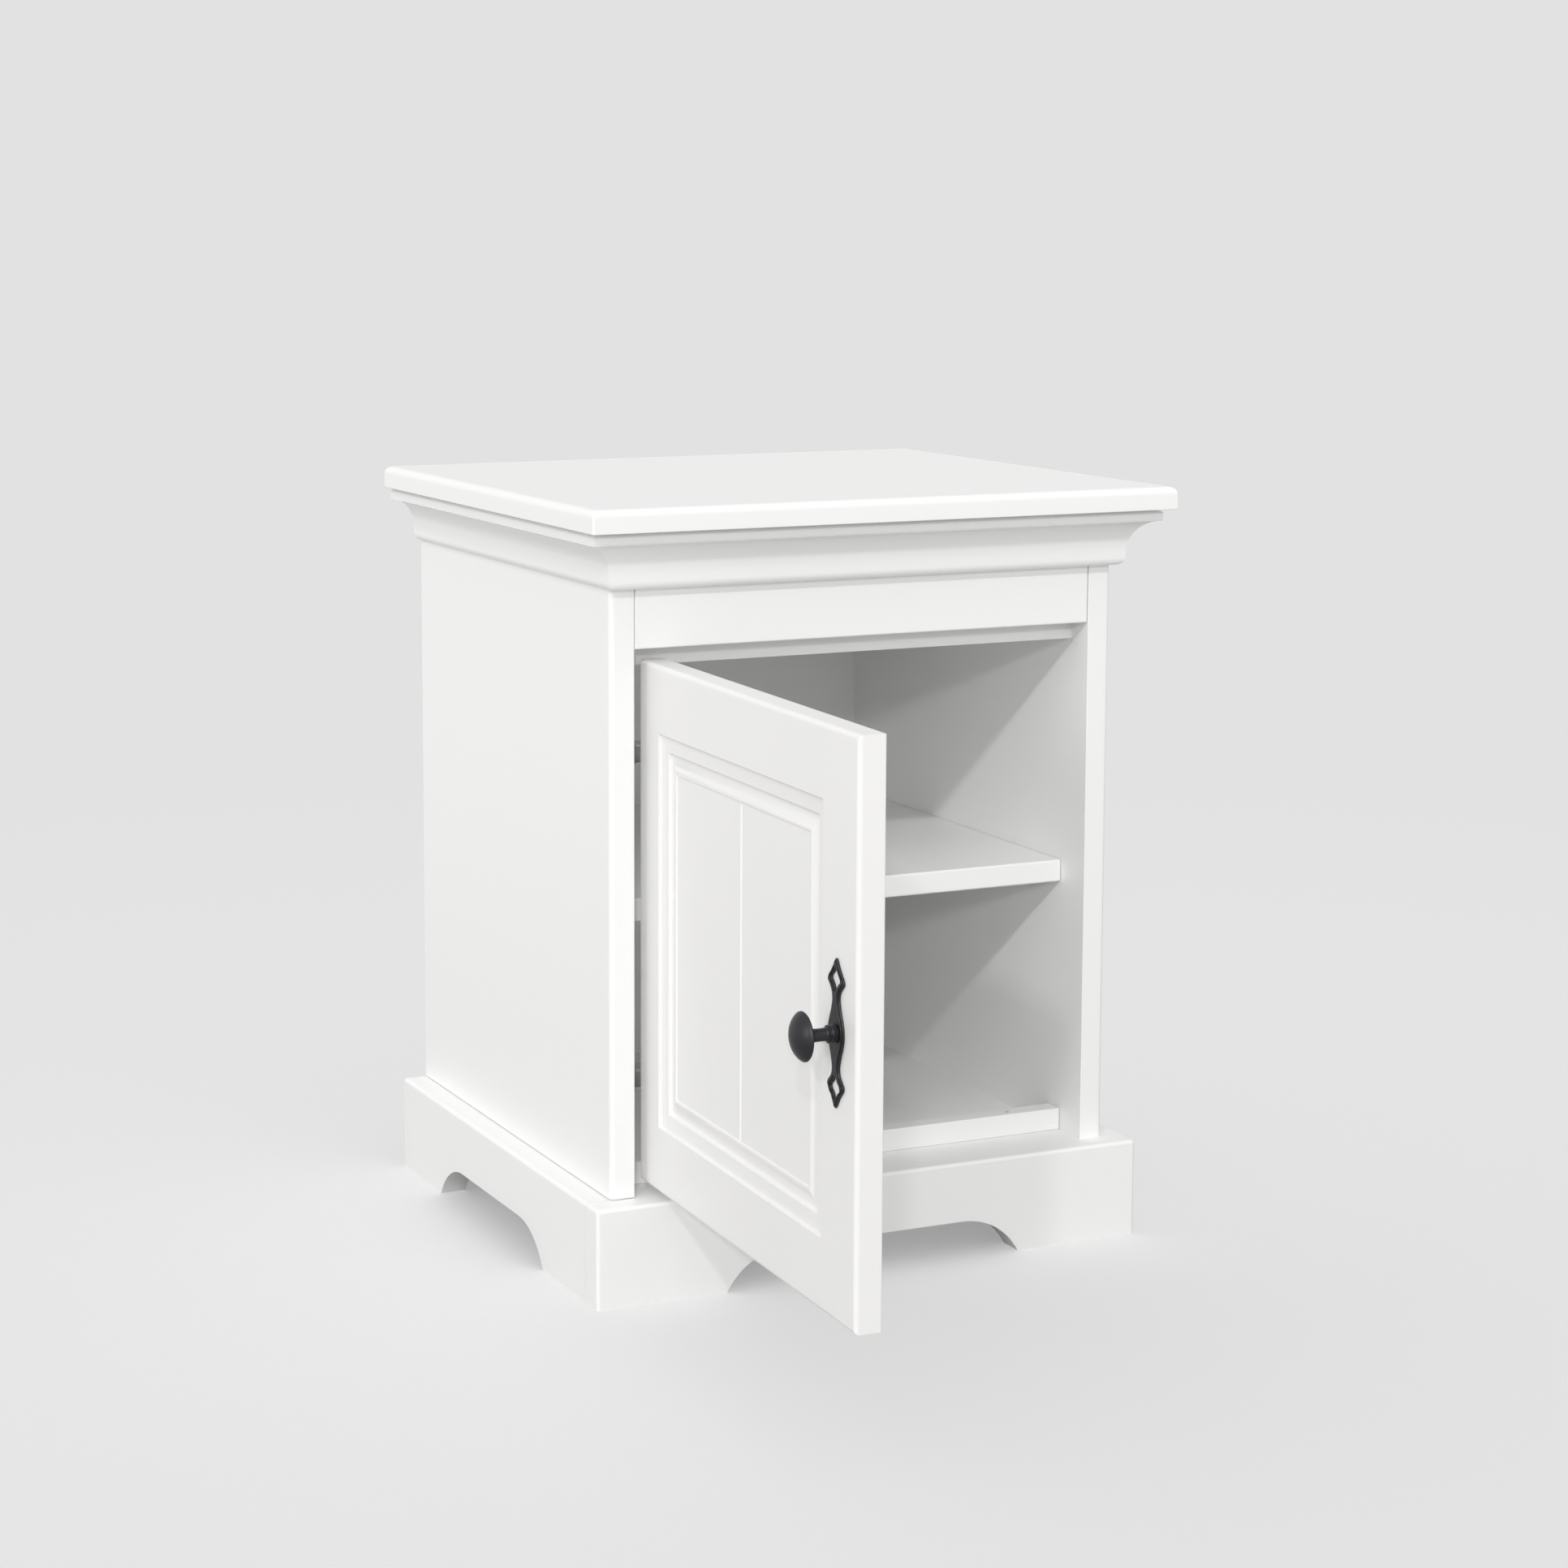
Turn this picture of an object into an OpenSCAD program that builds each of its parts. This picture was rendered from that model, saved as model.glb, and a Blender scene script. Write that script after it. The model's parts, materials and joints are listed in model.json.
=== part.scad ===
// Nightstand with one inset door, drawn as its separate pieces.
// Millimetres. X runs along the front, Y from the front to the back, Z up from the floor.
// The pieces are drawn from the middle of the carcass front, and shifted together at the end,
// so that the origin lies on the floor at the middle of the whole, with the door standing open.

/* [Overall] */
// Height from the floor to the top surface
overall_h = 610; // [540:5:720]
// Width over the two side panels
carcass_w = 434; // [380:2:560]
// Depth of the side panels
carcass_d = 404; // [340:2:480]

/* [Top board] */
// Thickness of the top board
top_t = 18; // [16:1:25]
// How far the top board stands out at each side
top_side_over = 33; // [30:1:45]
// How far the top board stands out at the front
top_front_over = 46; // [40:1:60]
// Radius of the top board's upper edges
top_edge_r = 6; // [2:0.5:7]

/* [Cornice] */
// Height of the cove moulding
cornice_h = 46; // [38:1:60]
// Height of the square fillet at the head of the moulding
fillet_h = 7.5; // [5:0.5:10]
// Height of the quirk between the fillet and the top board
quirk_h = 2.5; // [1.5:0.5:4]
// Width of the cove from the fillet to the lip
cove_run = 21; // [14:1:24]
// Height of the plain lip under the cove
lip_h = 4; // [2:0.5:8]
// Radius of the lip's lower edge
lip_r = 6; // [3:0.5:6]
// How far the lip stands out from the side panels
lip_side_over = 6; // [6:0.1:8]
// How far the lip stands out from the front
lip_front_over = 12; // [8:0.5:14]

/* [Carcass] */
// Thickness of the side panels
side_t = 20; // [18:1:25]
// Radius of the side panels' outer front edges
side_edge_r = 4; // [1:0.5:6]
// Radius of the side panels' inner front edges
side_inner_r = 0.8; // [0.3:0.1:2]
// Thickness of the floor, ceiling and rail boards
board_t = 18; // [16:1:22]
// Height of the front rail below the cornice
rail_show_h = 46; // [30:1:70]
// Radius of the rail's, shelf's and batten's front edges
board_edge_r = 1.2; // [0.5:0.1:3]
// Gap at each end of the front rail
rail_end_gap = 0.6; // [0.3:0.1:1.5]
// Setback of the ceiling board's front edge
ceiling_setback = 26; // [25:0.5:40]
// How far the ceiling board reaches below the front rail
ceiling_drop = 15.5; // [12:0.5:17]
// Thickness of the back panel
back_t = 4; // [3:0.5:6]
// Width of the rebate that holds the back panel
rebate_w = 10; // [6:1:12]
// Clearance of the back panel at each side
back_gap = 0.5; // [0.2:0.1:1]

/* [Shelf and stops] */
// Height of the shelf's top above the floor
shelf_z = 302; // [200:2:400]
// Setback of the shelf's front edge
shelf_setback = 36; // [30:1:80]
// Gap at each end of the shelf
shelf_gap = 0.8; // [0.3:0.1:2]
// Gap behind the shelf
shelf_back_gap = 1.5; // [0.3:0.1:4]
// Height of the lower stop batten
stop_h = 18; // [12:1:24]
// Depth of the lower stop batten
stop_d = 17; // [12:1:24]
// Setback of the lower stop batten
stop_setback = 32; // [28:1:40]
// Distance of the batten's screws from the side panels
stop_screw_in = 45; // [20:1:80]

/* [Plinth] */
// Height of the plinth
plinth_h = 78; // [70:1:110]
// Thickness of the plinth boards
plinth_t = 22; // [21.5:0.5:28]
// How far the plinth stands out from the carcass
plinth_over = 20; // [16:0.5:21]
// Radius of the plinth's upper and upright edges
plinth_edge_r = 3; // [1:0.5:5]
// Height of the rail behind, between the side boards
back_rail_h = 48; // [40:1:60]
// Height of the arches
arch_h = 30; // [20:1:34]
// Radius of the arches' round ends
arch_r = 57; // [40:1:70]
// Length of each front foot, from the plinth's corner
front_foot = 108.5; // [80:0.5:140]
// Length of each rear foot on the side boards
rear_foot = 89; // [70:1:120]

/* [Door] */
// Thickness of the door
door_t = 20; // [19.5:0.1:20.3]
// Gap at each side of the closed door
door_side_gap = 2.5; // [1.8:0.1:3.5]
// Gap above the closed door
door_top_gap = 10; // [8:0.5:11]
// Gap below the closed door
door_bottom_gap = 9; // [3:0.5:12]
// Radius of the door's front edges
door_edge_r = 3; // [1:0.5:4]
// Angle at which the door stands open in the photograph
door_rest_angle = 92.4; // [80:0.2:104]
// Distance of the hinge axis from the door's hinge edge
axis_in = 13; // [12.8:0.1:13.2]
// Distance of the hinge axis behind the door's front face
axis_back = 4.5; // [4.3:0.1:4.7]

/* [Milled field] */
// Width of the plain frame on the hinge side
frame_hinge_w = 39.5; // [30:0.5:60]
// Width of the plain frame on the handle side
frame_free_w = 55.5; // [50:0.5:70]
// Width of the plain frame at the top and the bottom
frame_end_w = 51; // [40:0.5:70]
// Depth of the first step
step_d = 2.6; // [1.5:0.1:3]
// Width of the sloping shoulder inside the first step
shoulder_w = 12.5; // [8:0.5:16]
// Fall of that shoulder over its width
shoulder_fall = 0.6; // [0:0.1:1]
// Depth of the groove
groove_d = 6; // [5.5:0.1:6.3]
// Width of the groove's flat bottom
groove_w = 2; // [1:0.5:4]
// Width of the cove that rises out of the groove
rise_w = 10.5; // [6:0.5:14]
// Width of the bead at the head of that cove
bead_w = 2; // [1:0.5:4]
// Depth of the bead
bead_d = 3.3; // [3:0.1:3.8]
// Depth of the field
field_d = 4.3; // [4:0.1:5]
// Width of the V-groove down the middle of the field
vee_w = 3; // [2:0.5:4]

/* [Handle] */
// Distance of the knob's axis from the door's free edge
knob_in = 30; // [26:0.5:34]
// Height of the knob's axis above the floor
knob_z = 285.5; // [200:0.5:360]
// Diameter of the knob's head
knob_d = 34; // [26:0.5:40]
// How far the knob stands out from the door
knob_out = 33; // [30:0.5:36]
// Diameter of the knob's stem
stem_d = 8.8; // [8:0.1:11]
// Length of the backplate
plate_h = 102; // [96:1:124]
// Width of the backplate's leaf
plate_w = 24; // [20:0.5:28]
// Width of the backplate's necks
neck_w = 10.4; // [8:0.2:13]
// Width over the backplate's pierced loops
loop_w = 25; // [22:0.5:30]
// Width of the pierced openings
pierce_w = 14; // [11:0.5:16]
// Height of the pierced openings
pierce_h = 13.4; // [10:0.2:15]
// Thickness of the backplate
plate_t = 2.6; // [2:0.1:4]
// Diameter of the knob's screw
knob_screw_d = 4; // [3.5:0.1:5]

/* [Hinges] */
// Distance of each hinge from the door's top and bottom edge
hinge_in = 75; // [50:1:100]
// Diameter of the hinge cup
cup_d = 35; // [35:0.5:36]
// Distance of the cup bore from the door's hinge edge
cup_edge = 3; // [3:0.5:3.5]
// Depth of the cup bore
cup_depth = 14; // [13.9:0.1:14.3]
// Wall of the hinge cup
cup_wall = 0.8; // [0.7:0.1:0.9]
// Distance of the inner link's pivot from the hinge axis
inner_pivot_r = 24.05; // [23.95:0.05:24.15]
// Distance of the outer link's pivot from the hinge axis
outer_pivot_r = 30.45; // [30.35:0.05:30.55]
// Diameter of the hinge pins
pin_d = 3; // [2.5:0.1:3]
// Radial clearance of the pins in the links
pin_clear = 0.05; // [0.02:0.01:0.08]
// Setback of the mounting plate's screws from the front
plate_setback = 62; // [58:1:66]

/* [Fixings] */
// Diameter of the wooden dowels
dowel_d = 8; // [6:1:10]
// Length of the dowels
dowel_l = 28; // [20:1:30]
// Clearance round the dowels and pins
fit_clear = 0.05; // [0.02:0.01:0.1]
// Diameter of the shelf pins
shelf_pin_d = 5; // [4:0.5:7]

/* [Hidden] */
$fn = 48;
arc_steps = 8;
eps = 0.01;
half_w = carcass_w / 2;
inner_w = carcass_w - 2 * side_t;
half_in = inner_w / 2;
under_top_z = overall_h - top_t;
cornice_z = under_top_z - cornice_h;
rail_z = cornice_z - rail_show_h;
ceiling_z = rail_z - ceiling_drop;
back_y = carcass_d - back_t;
fillet_side_x = half_w + lip_side_over + cove_run;
fillet_front_y = -(lip_front_over + cove_run);
plinth_half = half_w + plinth_over;
plinth_inner = plinth_half - plinth_t;
plinth_front_y = -plinth_over;
floor_low_z = plinth_h - board_t;

door_w = inner_w - 2 * door_side_gap;
door_z = plinth_h + door_bottom_gap;
door_h = rail_z - door_top_gap - door_z;
hinge_edge_x = -half_in + door_side_gap;
axis_x = hinge_edge_x + axis_in;
cup_s = cup_edge + cup_d / 2;
hinge_zs = [door_z + hinge_in, door_z + door_h - hinge_in];
knob_s = door_w - knob_in;

// Turn of a point about the hinge axis, a degrees towards open
function turned(p, a) = [p[0] * cos(a) + p[1] * sin(a), -p[0] * sin(a) + p[1] * cos(a)];
function polar(r, a) = [r * cos(a), r * sin(a)];
function arc(c, r, a0, a1, n = arc_steps) = [for (i = [0:n]) c + r * [cos(a0 + (a1 - a0) * i / n),
    sin(a0 + (a1 - a0) * i / n)]];

// Cup pins, from the hinge axis with the door closed, and where they lie with the door open
inner_cup_pin = [0.7, 13];
outer_cup_pin = [-1.15, 9.9];
// Bends of the two links, from the pivot to the cup, from the hinge axis
inner_bends = [[18.8, 11.8], [19.3, 8.5], [17.2, 3.65]];
outer_bends = [[25.9, 17.8], [25.65, 4.85], [19.45, 2.95]];
inner_end = turned(inner_cup_pin, door_rest_angle);
outer_end = turned(outer_cup_pin, door_rest_angle);
inner_pivot = polar(inner_pivot_r, atan2(inner_cup_pin[1], inner_cup_pin[0]) - door_rest_angle / 2);
outer_pivot = polar(outer_pivot_r, atan2(outer_cup_pin[1], outer_cup_pin[0]) - door_rest_angle / 2);

// Lowest Y of the whole: the free edge of the open door, less its rounding
free_edge = turned([door_w - axis_in, door_t - axis_back], door_rest_angle);
front_most_y = axis_back + free_edge[1];
origin_y = (carcass_d + front_most_y) / 2;

white = [0.93, 0.93, 0.92];
inside = [0.88, 0.88, 0.87];
iron = [0.13, 0.13, 0.13];
zinc = [0.72, 0.72, 0.70];
beech = [0.80, 0.66, 0.48];

// Shift of every piece from the carcass front to the origin
module placed() {
    translate([0, -origin_y, 0]) children();
}

// Door pieces are drawn closed, from the lower hinge corner of the front face at floor level
module on_door() {
    placed() translate([axis_x, axis_back, 0]) rotate([0, 0, -door_rest_angle])
        translate([-axis_in, -axis_back, 0]) children();
}

// Rectangle from a to b with its two right-hand or upper corners rounded
module rounded_rect(a, b, r, right = false) {
    lower_right = right ? arc([b[0] - r, a[1] + r], r, -90, 0) : [[b[0], a[1]]];
    upper_left = right ? [[a[0], b[1]]] : arc([a[0] + r, b[1] - r], r, 90, 180);
    polygon(concat([a], lower_right, arc([b[0] - r, b[1] - r], r, 0, 90), upper_left));
}

// Upright prism over a plan between two heights
module upright(z0, z1) {
    translate([0, 0, z0]) linear_extrude(z1 - z0) children();
}

// Prism along X: the drawing's first axis is Y and its second is Z
module along_x(x0, x1) {
    translate([x0, 0, 0]) rotate([90, 0, 90]) linear_extrude(x1 - x0) children();
}

// Prism along Y: the drawing's first axis is X and its second is Z
module along_y(y0, y1) {
    translate([0, y1, 0]) rotate([90, 0, 0]) linear_extrude(y1 - y0) children();
}

module box(a, b) {
    translate(a) cube(b - a);
}

module both_sides() {
    children();
    mirror([1, 0, 0]) children();
}

// Dowels and their holes: rows along Y at each side, standing in Z
dowel_x = half_w - side_t / 2;
dowel_ys = [for (f = [0.14, 0.5, 0.86]) carcass_d * f];
floor_dowel_skin = 3;
floor_dowel_z = plinth_h - board_t + floor_dowel_skin;
top_dowel_skin = 8;
top_dowel_up = top_t - top_dowel_skin;
ceiling_dowel_front = 20;
ceiling_dowel_rear = 10;
ceiling_dowel_shift = 2;

module floor_dowel_set(r, extra) {
    both_sides() for (y = dowel_ys)
        translate([dowel_x, y, floor_dowel_z - extra]) cylinder(r = r, h = dowel_l + 2 * extra);
}

module top_dowel_set(r, extra) {
    both_sides() for (y = dowel_ys)
        translate([dowel_x, y, under_top_z + top_dowel_up - dowel_l - extra])
            cylinder(r = r, h = dowel_l + 2 * extra);
}

module ceiling_dowel_set(r, extra) {
    both_sides() for (y = [dowel_ys[0] + ceiling_dowel_front, dowel_ys[2] - ceiling_dowel_rear])
        translate([dowel_x - dowel_l + ceiling_dowel_shift - extra, y, ceiling_z + board_t / 2])
            rotate([0, 90, 0]) cylinder(r = r, h = dowel_l + 2 * extra);
}

// Shelf pins: two at each side, under the shelf
shelf_pin_front = 40;
shelf_pin_rear = 70;
shelf_pin_ys = [shelf_setback + shelf_pin_front, carcass_d - shelf_pin_rear];
shelf_pin_in = 9;
shelf_pin_out = 8;
shelf_pin_collar_t = 1.5;
shelf_pin_collar_over = 1.5;

module shelf_pin_set(r, extra) {
    both_sides() for (y = shelf_pin_ys)
        translate([half_in - shelf_pin_out, y, shelf_z - board_t - shelf_pin_d / 2])
            rotate([0, 90, 0]) cylinder(r = r, h = shelf_pin_out + shelf_pin_in + extra);
}

// Top board

module top_board() {
    x1 = half_w + top_side_over;
    color(white) difference() {
        intersection() {
            along_y(-top_front_over, carcass_d)
                rounded_rect([-x1, under_top_z], [x1, overall_h], top_edge_r);
            mirror([0, 1, 0]) along_x(-x1, x1)
                rounded_rect([-carcass_d, under_top_z], [top_front_over, overall_h], top_edge_r);
        }
        top_dowel_set(dowel_d / 2 + fit_clear, fit_clear);
    }
}

// Cornice: the section's first axis runs outward from the carcass, to the fillet at q = out

module cove_section(out) {
    lip = out - cove_run;
    foot = max(lip - lip_r, 0);
    cove_z = cornice_z + lip_r + lip_h;
    cove_h = under_top_z - quirk_h - fillet_h - cove_z;
    cove = [for (i = [0:2 * arc_steps]) [lip + cove_run * (1 - cos(90 * i / (2 * arc_steps))),
        cove_z + cove_h * sin(90 * i / (2 * arc_steps))]];
    polygon(concat([[0, cornice_z], [foot, cornice_z]],
        [for (i = [1:arc_steps]) [foot + (lip - foot) * sin(90 * i / arc_steps),
            cornice_z + lip_r * (1 - cos(90 * i / arc_steps))]],
        cove,
        [[out, under_top_z - quirk_h]],
        [[out - quirk_h, under_top_z], [0, under_top_z]]));
}

module cornice_front() {
    run = lip_side_over + cove_run;
    color(white) intersection() {
        mirror([0, 1, 0]) along_x(-fillet_side_x, fillet_side_x) cove_section(-fillet_front_y);
        upright(cornice_z, under_top_z) polygon([[-fillet_side_x, fillet_front_y],
            [fillet_side_x, fillet_front_y], [half_w, fillet_front_y + run], [half_w, 0],
            [-half_w, 0], [-half_w, fillet_front_y + run]]);
    }
}

module cornice_side() {
    run = lip_side_over + cove_run;
    intersection() {
        along_y(fillet_front_y, carcass_d) translate([half_w, 0]) cove_section(run);
        upright(cornice_z, under_top_z) polygon([[fillet_side_x, fillet_front_y],
            [fillet_side_x, carcass_d], [half_w, carcass_d], [half_w, fillet_front_y + run]]);
    }
}

module cornice_left() {
    color(white) mirror([1, 0, 0]) cornice_side();
}

module cornice_right() {
    color(white) cornice_side();
}

// Carcass

module front_rail() {
    end_x = half_in - rail_end_gap;
    color(white) intersection() {
        along_y(0, board_t) rounded_rect([-end_x, rail_z], [end_x, under_top_z], eps);
        upright(rail_z, under_top_z) mirror([0, 1, 0])
            rounded_rect([-end_x, -board_t], [end_x, 0], board_edge_r);
    }
}

module ceiling_board() {
    color(inside) difference() {
        box([-half_in, ceiling_setback, ceiling_z], [half_in, back_y, ceiling_z + board_t]);
        ceiling_dowel_set(dowel_d / 2 + fit_clear, fit_clear);
    }
}

module side_plan() {
    inner = side_inner_r;
    outer = side_edge_r;
    polygon(concat(arc([half_in + inner, inner], inner, 180, 270),
        arc([half_w - outer, outer], outer, 270, 360), [[half_w, carcass_d], [half_in + rebate_w, carcass_d],
        [half_in + rebate_w, back_y], [half_in, back_y]]));
}

module side_panel() {
    difference() {
        upright(plinth_h, under_top_z) side_plan();
        floor_dowel_set(dowel_d / 2 + fit_clear, fit_clear);
        top_dowel_set(dowel_d / 2 + fit_clear, fit_clear);
        ceiling_dowel_set(dowel_d / 2 + fit_clear, fit_clear);
        shelf_pin_set(shelf_pin_d / 2 + fit_clear, fit_clear);
        placed_back_screws(back_screw_d / 2 + fit_clear, fit_clear);
    }
}

module side_panel_left() {
    color(white) difference() {
        mirror([1, 0, 0]) side_panel();
        plate_screw_set(plate_screw_d / 2 + fit_clear, fit_clear);
    }
}

module side_panel_right() {
    color(white) side_panel();
}

module back_panel() {
    x1 = half_in + rebate_w - back_gap;
    color(inside) difference() {
        box([-x1, back_y, plinth_h], [x1, carcass_d, under_top_z]);
        placed_back_screws(back_screw_d / 2 + fit_clear, fit_clear);
        back_screw_heads(back_head_d / 2 + fit_clear, fit_clear);
    }
}

// The stretcher stands on the ceiling board, against the back panel
module rear_stretcher() {
    color(inside) box([-half_in, back_y - board_t, ceiling_z + board_t], [half_in, back_y, under_top_z]);
}

// The floor board lies inside the plinth, level with its top, and carries the side panels
module floor_board() {
    color(inside) difference() {
        box([-plinth_inner, plinth_front_y + plinth_t, floor_low_z],
            [plinth_inner, carcass_d - plinth_t, plinth_h]);
        floor_dowel_set(dowel_d / 2 + fit_clear, fit_clear);
        stop_screw_set(stop_screw_d / 2 + fit_clear, fit_clear);
    }
}

module floor_dowels() {
    color(beech) floor_dowel_set(dowel_d / 2, 0);
}

module top_dowels() {
    color(beech) top_dowel_set(dowel_d / 2, 0);
}

module ceiling_dowels() {
    color(beech) ceiling_dowel_set(dowel_d / 2, 0);
}

// Screws of the back panel, driven from behind into the side panels' rebates
back_screw_d = 3;
back_head_d = 6;
back_head_t = 1.4;
back_screw_l = 14;
back_screw_x = half_in + rebate_w / 2;
back_screw_zs = [for (f = [0.08, 0.36, 0.64, 0.92]) plinth_h + (under_top_z - plinth_h) * f];

module placed_back_screws(r, extra) {
    both_sides() for (z = back_screw_zs)
        translate([back_screw_x, carcass_d, z]) rotate([90, 0, 0]) cylinder(r = r, h = back_screw_l + extra);
}

module back_screw_heads(r, extra) {
    both_sides() for (z = back_screw_zs)
        translate([back_screw_x, carcass_d + extra, z]) rotate([90, 0, 0])
            cylinder(r = r, h = back_head_t + 2 * extra);
}

module back_screws() {
    color(zinc) {
        placed_back_screws(back_screw_d / 2, 0);
        back_screw_heads(back_head_d / 2, 0);
    }
}

// Shelf and lower stop

module shelf() {
    color(white) intersection() {
        box([-half_in + shelf_gap, shelf_setback, shelf_z - board_t],
            [half_in - shelf_gap, back_y - shelf_back_gap, shelf_z]);
        mirror([0, 1, 0]) along_x(-half_in, half_in)
            rounded_rect([-back_y, shelf_z - board_t], [-shelf_setback, shelf_z], board_edge_r, true);
    }
}

module shelf_pins() {
    color(zinc) {
        shelf_pin_set(shelf_pin_d / 2, 0);
        both_sides() for (y = shelf_pin_ys)
            translate([half_in - shelf_pin_collar_t, y, shelf_z - board_t - shelf_pin_d / 2])
                rotate([0, 90, 0]) intersection() {
                    cylinder(r = shelf_pin_d / 2 + shelf_pin_collar_over, h = shelf_pin_collar_t);
                    translate([-shelf_pin_d / 2, -shelf_pin_d, 0])
                        cube([2 * shelf_pin_d, 2 * shelf_pin_d, shelf_pin_collar_t]);
                }
    }
}

stop_screw_d = 3.2;
stop_head_d = 4.8;
stop_hole_depth = 9;
stop_screw_l = 24;
stop_head_t = 2;

module stop_screw_set(r, extra) {
    both_sides()
        translate([half_in - stop_screw_in, stop_setback + stop_d / 2,
            plinth_h + stop_h - stop_hole_depth - stop_screw_l - extra])
            cylinder(r = r, h = stop_screw_l + extra);
}

module lower_stop() {
    color(white) difference() {
        mirror([0, 1, 0]) along_x(-half_in, half_in)
            rounded_rect([-stop_setback - stop_d, plinth_h], [-stop_setback, plinth_h + stop_h],
                board_edge_r);
        stop_screw_set(stop_screw_d / 2 + fit_clear, fit_clear);
        both_sides()
            translate([half_in - stop_screw_in, stop_setback + stop_d / 2,
                plinth_h + stop_h - stop_hole_depth - stop_head_t])
                cylinder(d = stop_head_d + 2 * fit_clear, h = stop_hole_depth + stop_head_t + eps);
    }
}

module lower_stop_screws() {
    color(zinc) {
        stop_screw_set(stop_screw_d / 2, 0);
        both_sides()
            translate([half_in - stop_screw_in, stop_setback + stop_d / 2,
                plinth_h + stop_h - stop_hole_depth - stop_head_t])
                cylinder(d = stop_head_d, h = stop_head_t);
    }
}

// Plinth

// Arch between two foot ends at a and b, with a round end at each foot
module arch(a, b) {
    reach = sqrt(arch_r * arch_r - (arch_r - arch_h) * (arch_r - arch_h));
    sweep = asin(reach / arch_r);
    polygon(concat([[a, -1], [a, 0]],
        arc([a + reach, arch_h - arch_r], arch_r, 90 + sweep, 90),
        arc([b - reach, arch_h - arch_r], arch_r, 90, 90 - sweep), [[b, 0], [b, -1]]));
}

module plinth_front() {
    color(white) intersection() {
        along_y(plinth_front_y, plinth_front_y + plinth_t) difference() {
            rounded_rect([-plinth_half, 0], [plinth_half, plinth_h], plinth_edge_r);
            arch(-plinth_half + front_foot, plinth_half - front_foot);
        }
        upright(0, plinth_h) mirror([0, 1, 0])
            rounded_rect([-plinth_half, -plinth_front_y - plinth_t], [plinth_half, -plinth_front_y],
                plinth_edge_r);
        mirror([0, 1, 0]) along_x(-plinth_half, plinth_half)
            rounded_rect([-plinth_front_y - plinth_t, 0], [-plinth_front_y, plinth_h], plinth_edge_r, false);
    }
}

module plinth_side() {
    y0 = plinth_front_y + plinth_t;
    intersection() {
        along_x(plinth_inner, plinth_half) difference() {
            translate([y0, 0]) square([carcass_d - y0, plinth_h]);
            arch(plinth_front_y + front_foot, carcass_d - rear_foot);
        }
        along_y(y0, carcass_d)
            polygon(concat([[plinth_inner, 0], [plinth_half, 0]],
                arc([plinth_half - plinth_edge_r, plinth_h - plinth_edge_r], plinth_edge_r, 0, 90),
                [[plinth_inner, plinth_h]]));
    }
}

module plinth_left() {
    color(white) mirror([1, 0, 0]) plinth_side();
}

module plinth_right() {
    color(white) plinth_side();
}

module plinth_back_rail() {
    color(inside) box([-plinth_inner, carcass_d - plinth_t, plinth_h - back_rail_h],
        [plinth_inner, carcass_d, plinth_h]);
}

block_leg = 32;
block_lift = 6;

module plinth_blocks() {
    leg = block_leg;
    y_front = plinth_front_y + plinth_t;
    y_back = carcass_d - plinth_t;
    color(beech) both_sides() upright(block_lift, floor_low_z) {
        translate([plinth_inner, y_front])
            polygon([[0, 0], [0, leg], [-leg / 4, leg], [-leg, leg / 4], [-leg, 0]]);
        translate([plinth_inner, y_back])
            polygon([[0, 0], [0, -leg], [-leg / 4, -leg], [-leg, -leg / 4], [-leg, 0]]);
    }
}

// Door

field_in = shoulder_w + groove_w + rise_w + bead_w;

module door_blank() {
    intersection() {
        upright(door_z, door_z + door_h)
            mirror([0, 1, 0]) rounded_rect([0, -door_t], [door_w, 0], door_edge_r);
        mirror([0, 1, 0]) along_x(0, door_w)
            rounded_rect([-door_t, door_z], [0, door_z + door_h], door_edge_r, true);
    }
}

module door_panel() {
    color(white) on_door() difference() {
        door_blank();
        milled_pocket();
        for (z = hinge_zs)
            translate([cup_s, door_t + eps, z]) rotate([90, 0, 0])
                cylinder(d = cup_d, h = cup_depth + eps);
        cup_screw_set(cup_screw_d / 2 + fit_clear, fit_clear);
        translate([knob_s, -1, knob_z]) rotate([-90, 0, 0])
            cylinder(d = knob_screw_d + 2 * fit_clear, h = door_t + 2);
    }
}

// Wedge of one side of the field, seen from the front: the side runs from p to q
module side_wedge(p, q, inward) {
    along = (q - p) / norm(q - p);
    reach = field_in + 1;
    translate([0, -1, 0]) along_y(0, groove_d + 2)
        polygon([p, q, q - along * reach + inward * reach, p + along * reach + inward * reach]);
}

// What the cutter takes away, as a section: first axis inward from the frame edge, second the depth
module cutter_section() {
    rise = groove_d - bead_d;
    x2 = shoulder_w + groove_w;
    polygon(concat([[0, -1], [0, step_d], [shoulder_w, step_d + shoulder_fall],
        [shoulder_w, groove_d], [x2, groove_d]],
        [for (i = [1:arc_steps]) [x2 + rise_w * i / arc_steps,
            groove_d - rise * (1 - cos(90 * i / arc_steps))]],
        [[x2 + rise_w + bead_w, bead_d], [x2 + rise_w + bead_w, field_d], [field_in + 2, field_d],
        [field_in + 2, -1]]));
}

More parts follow.
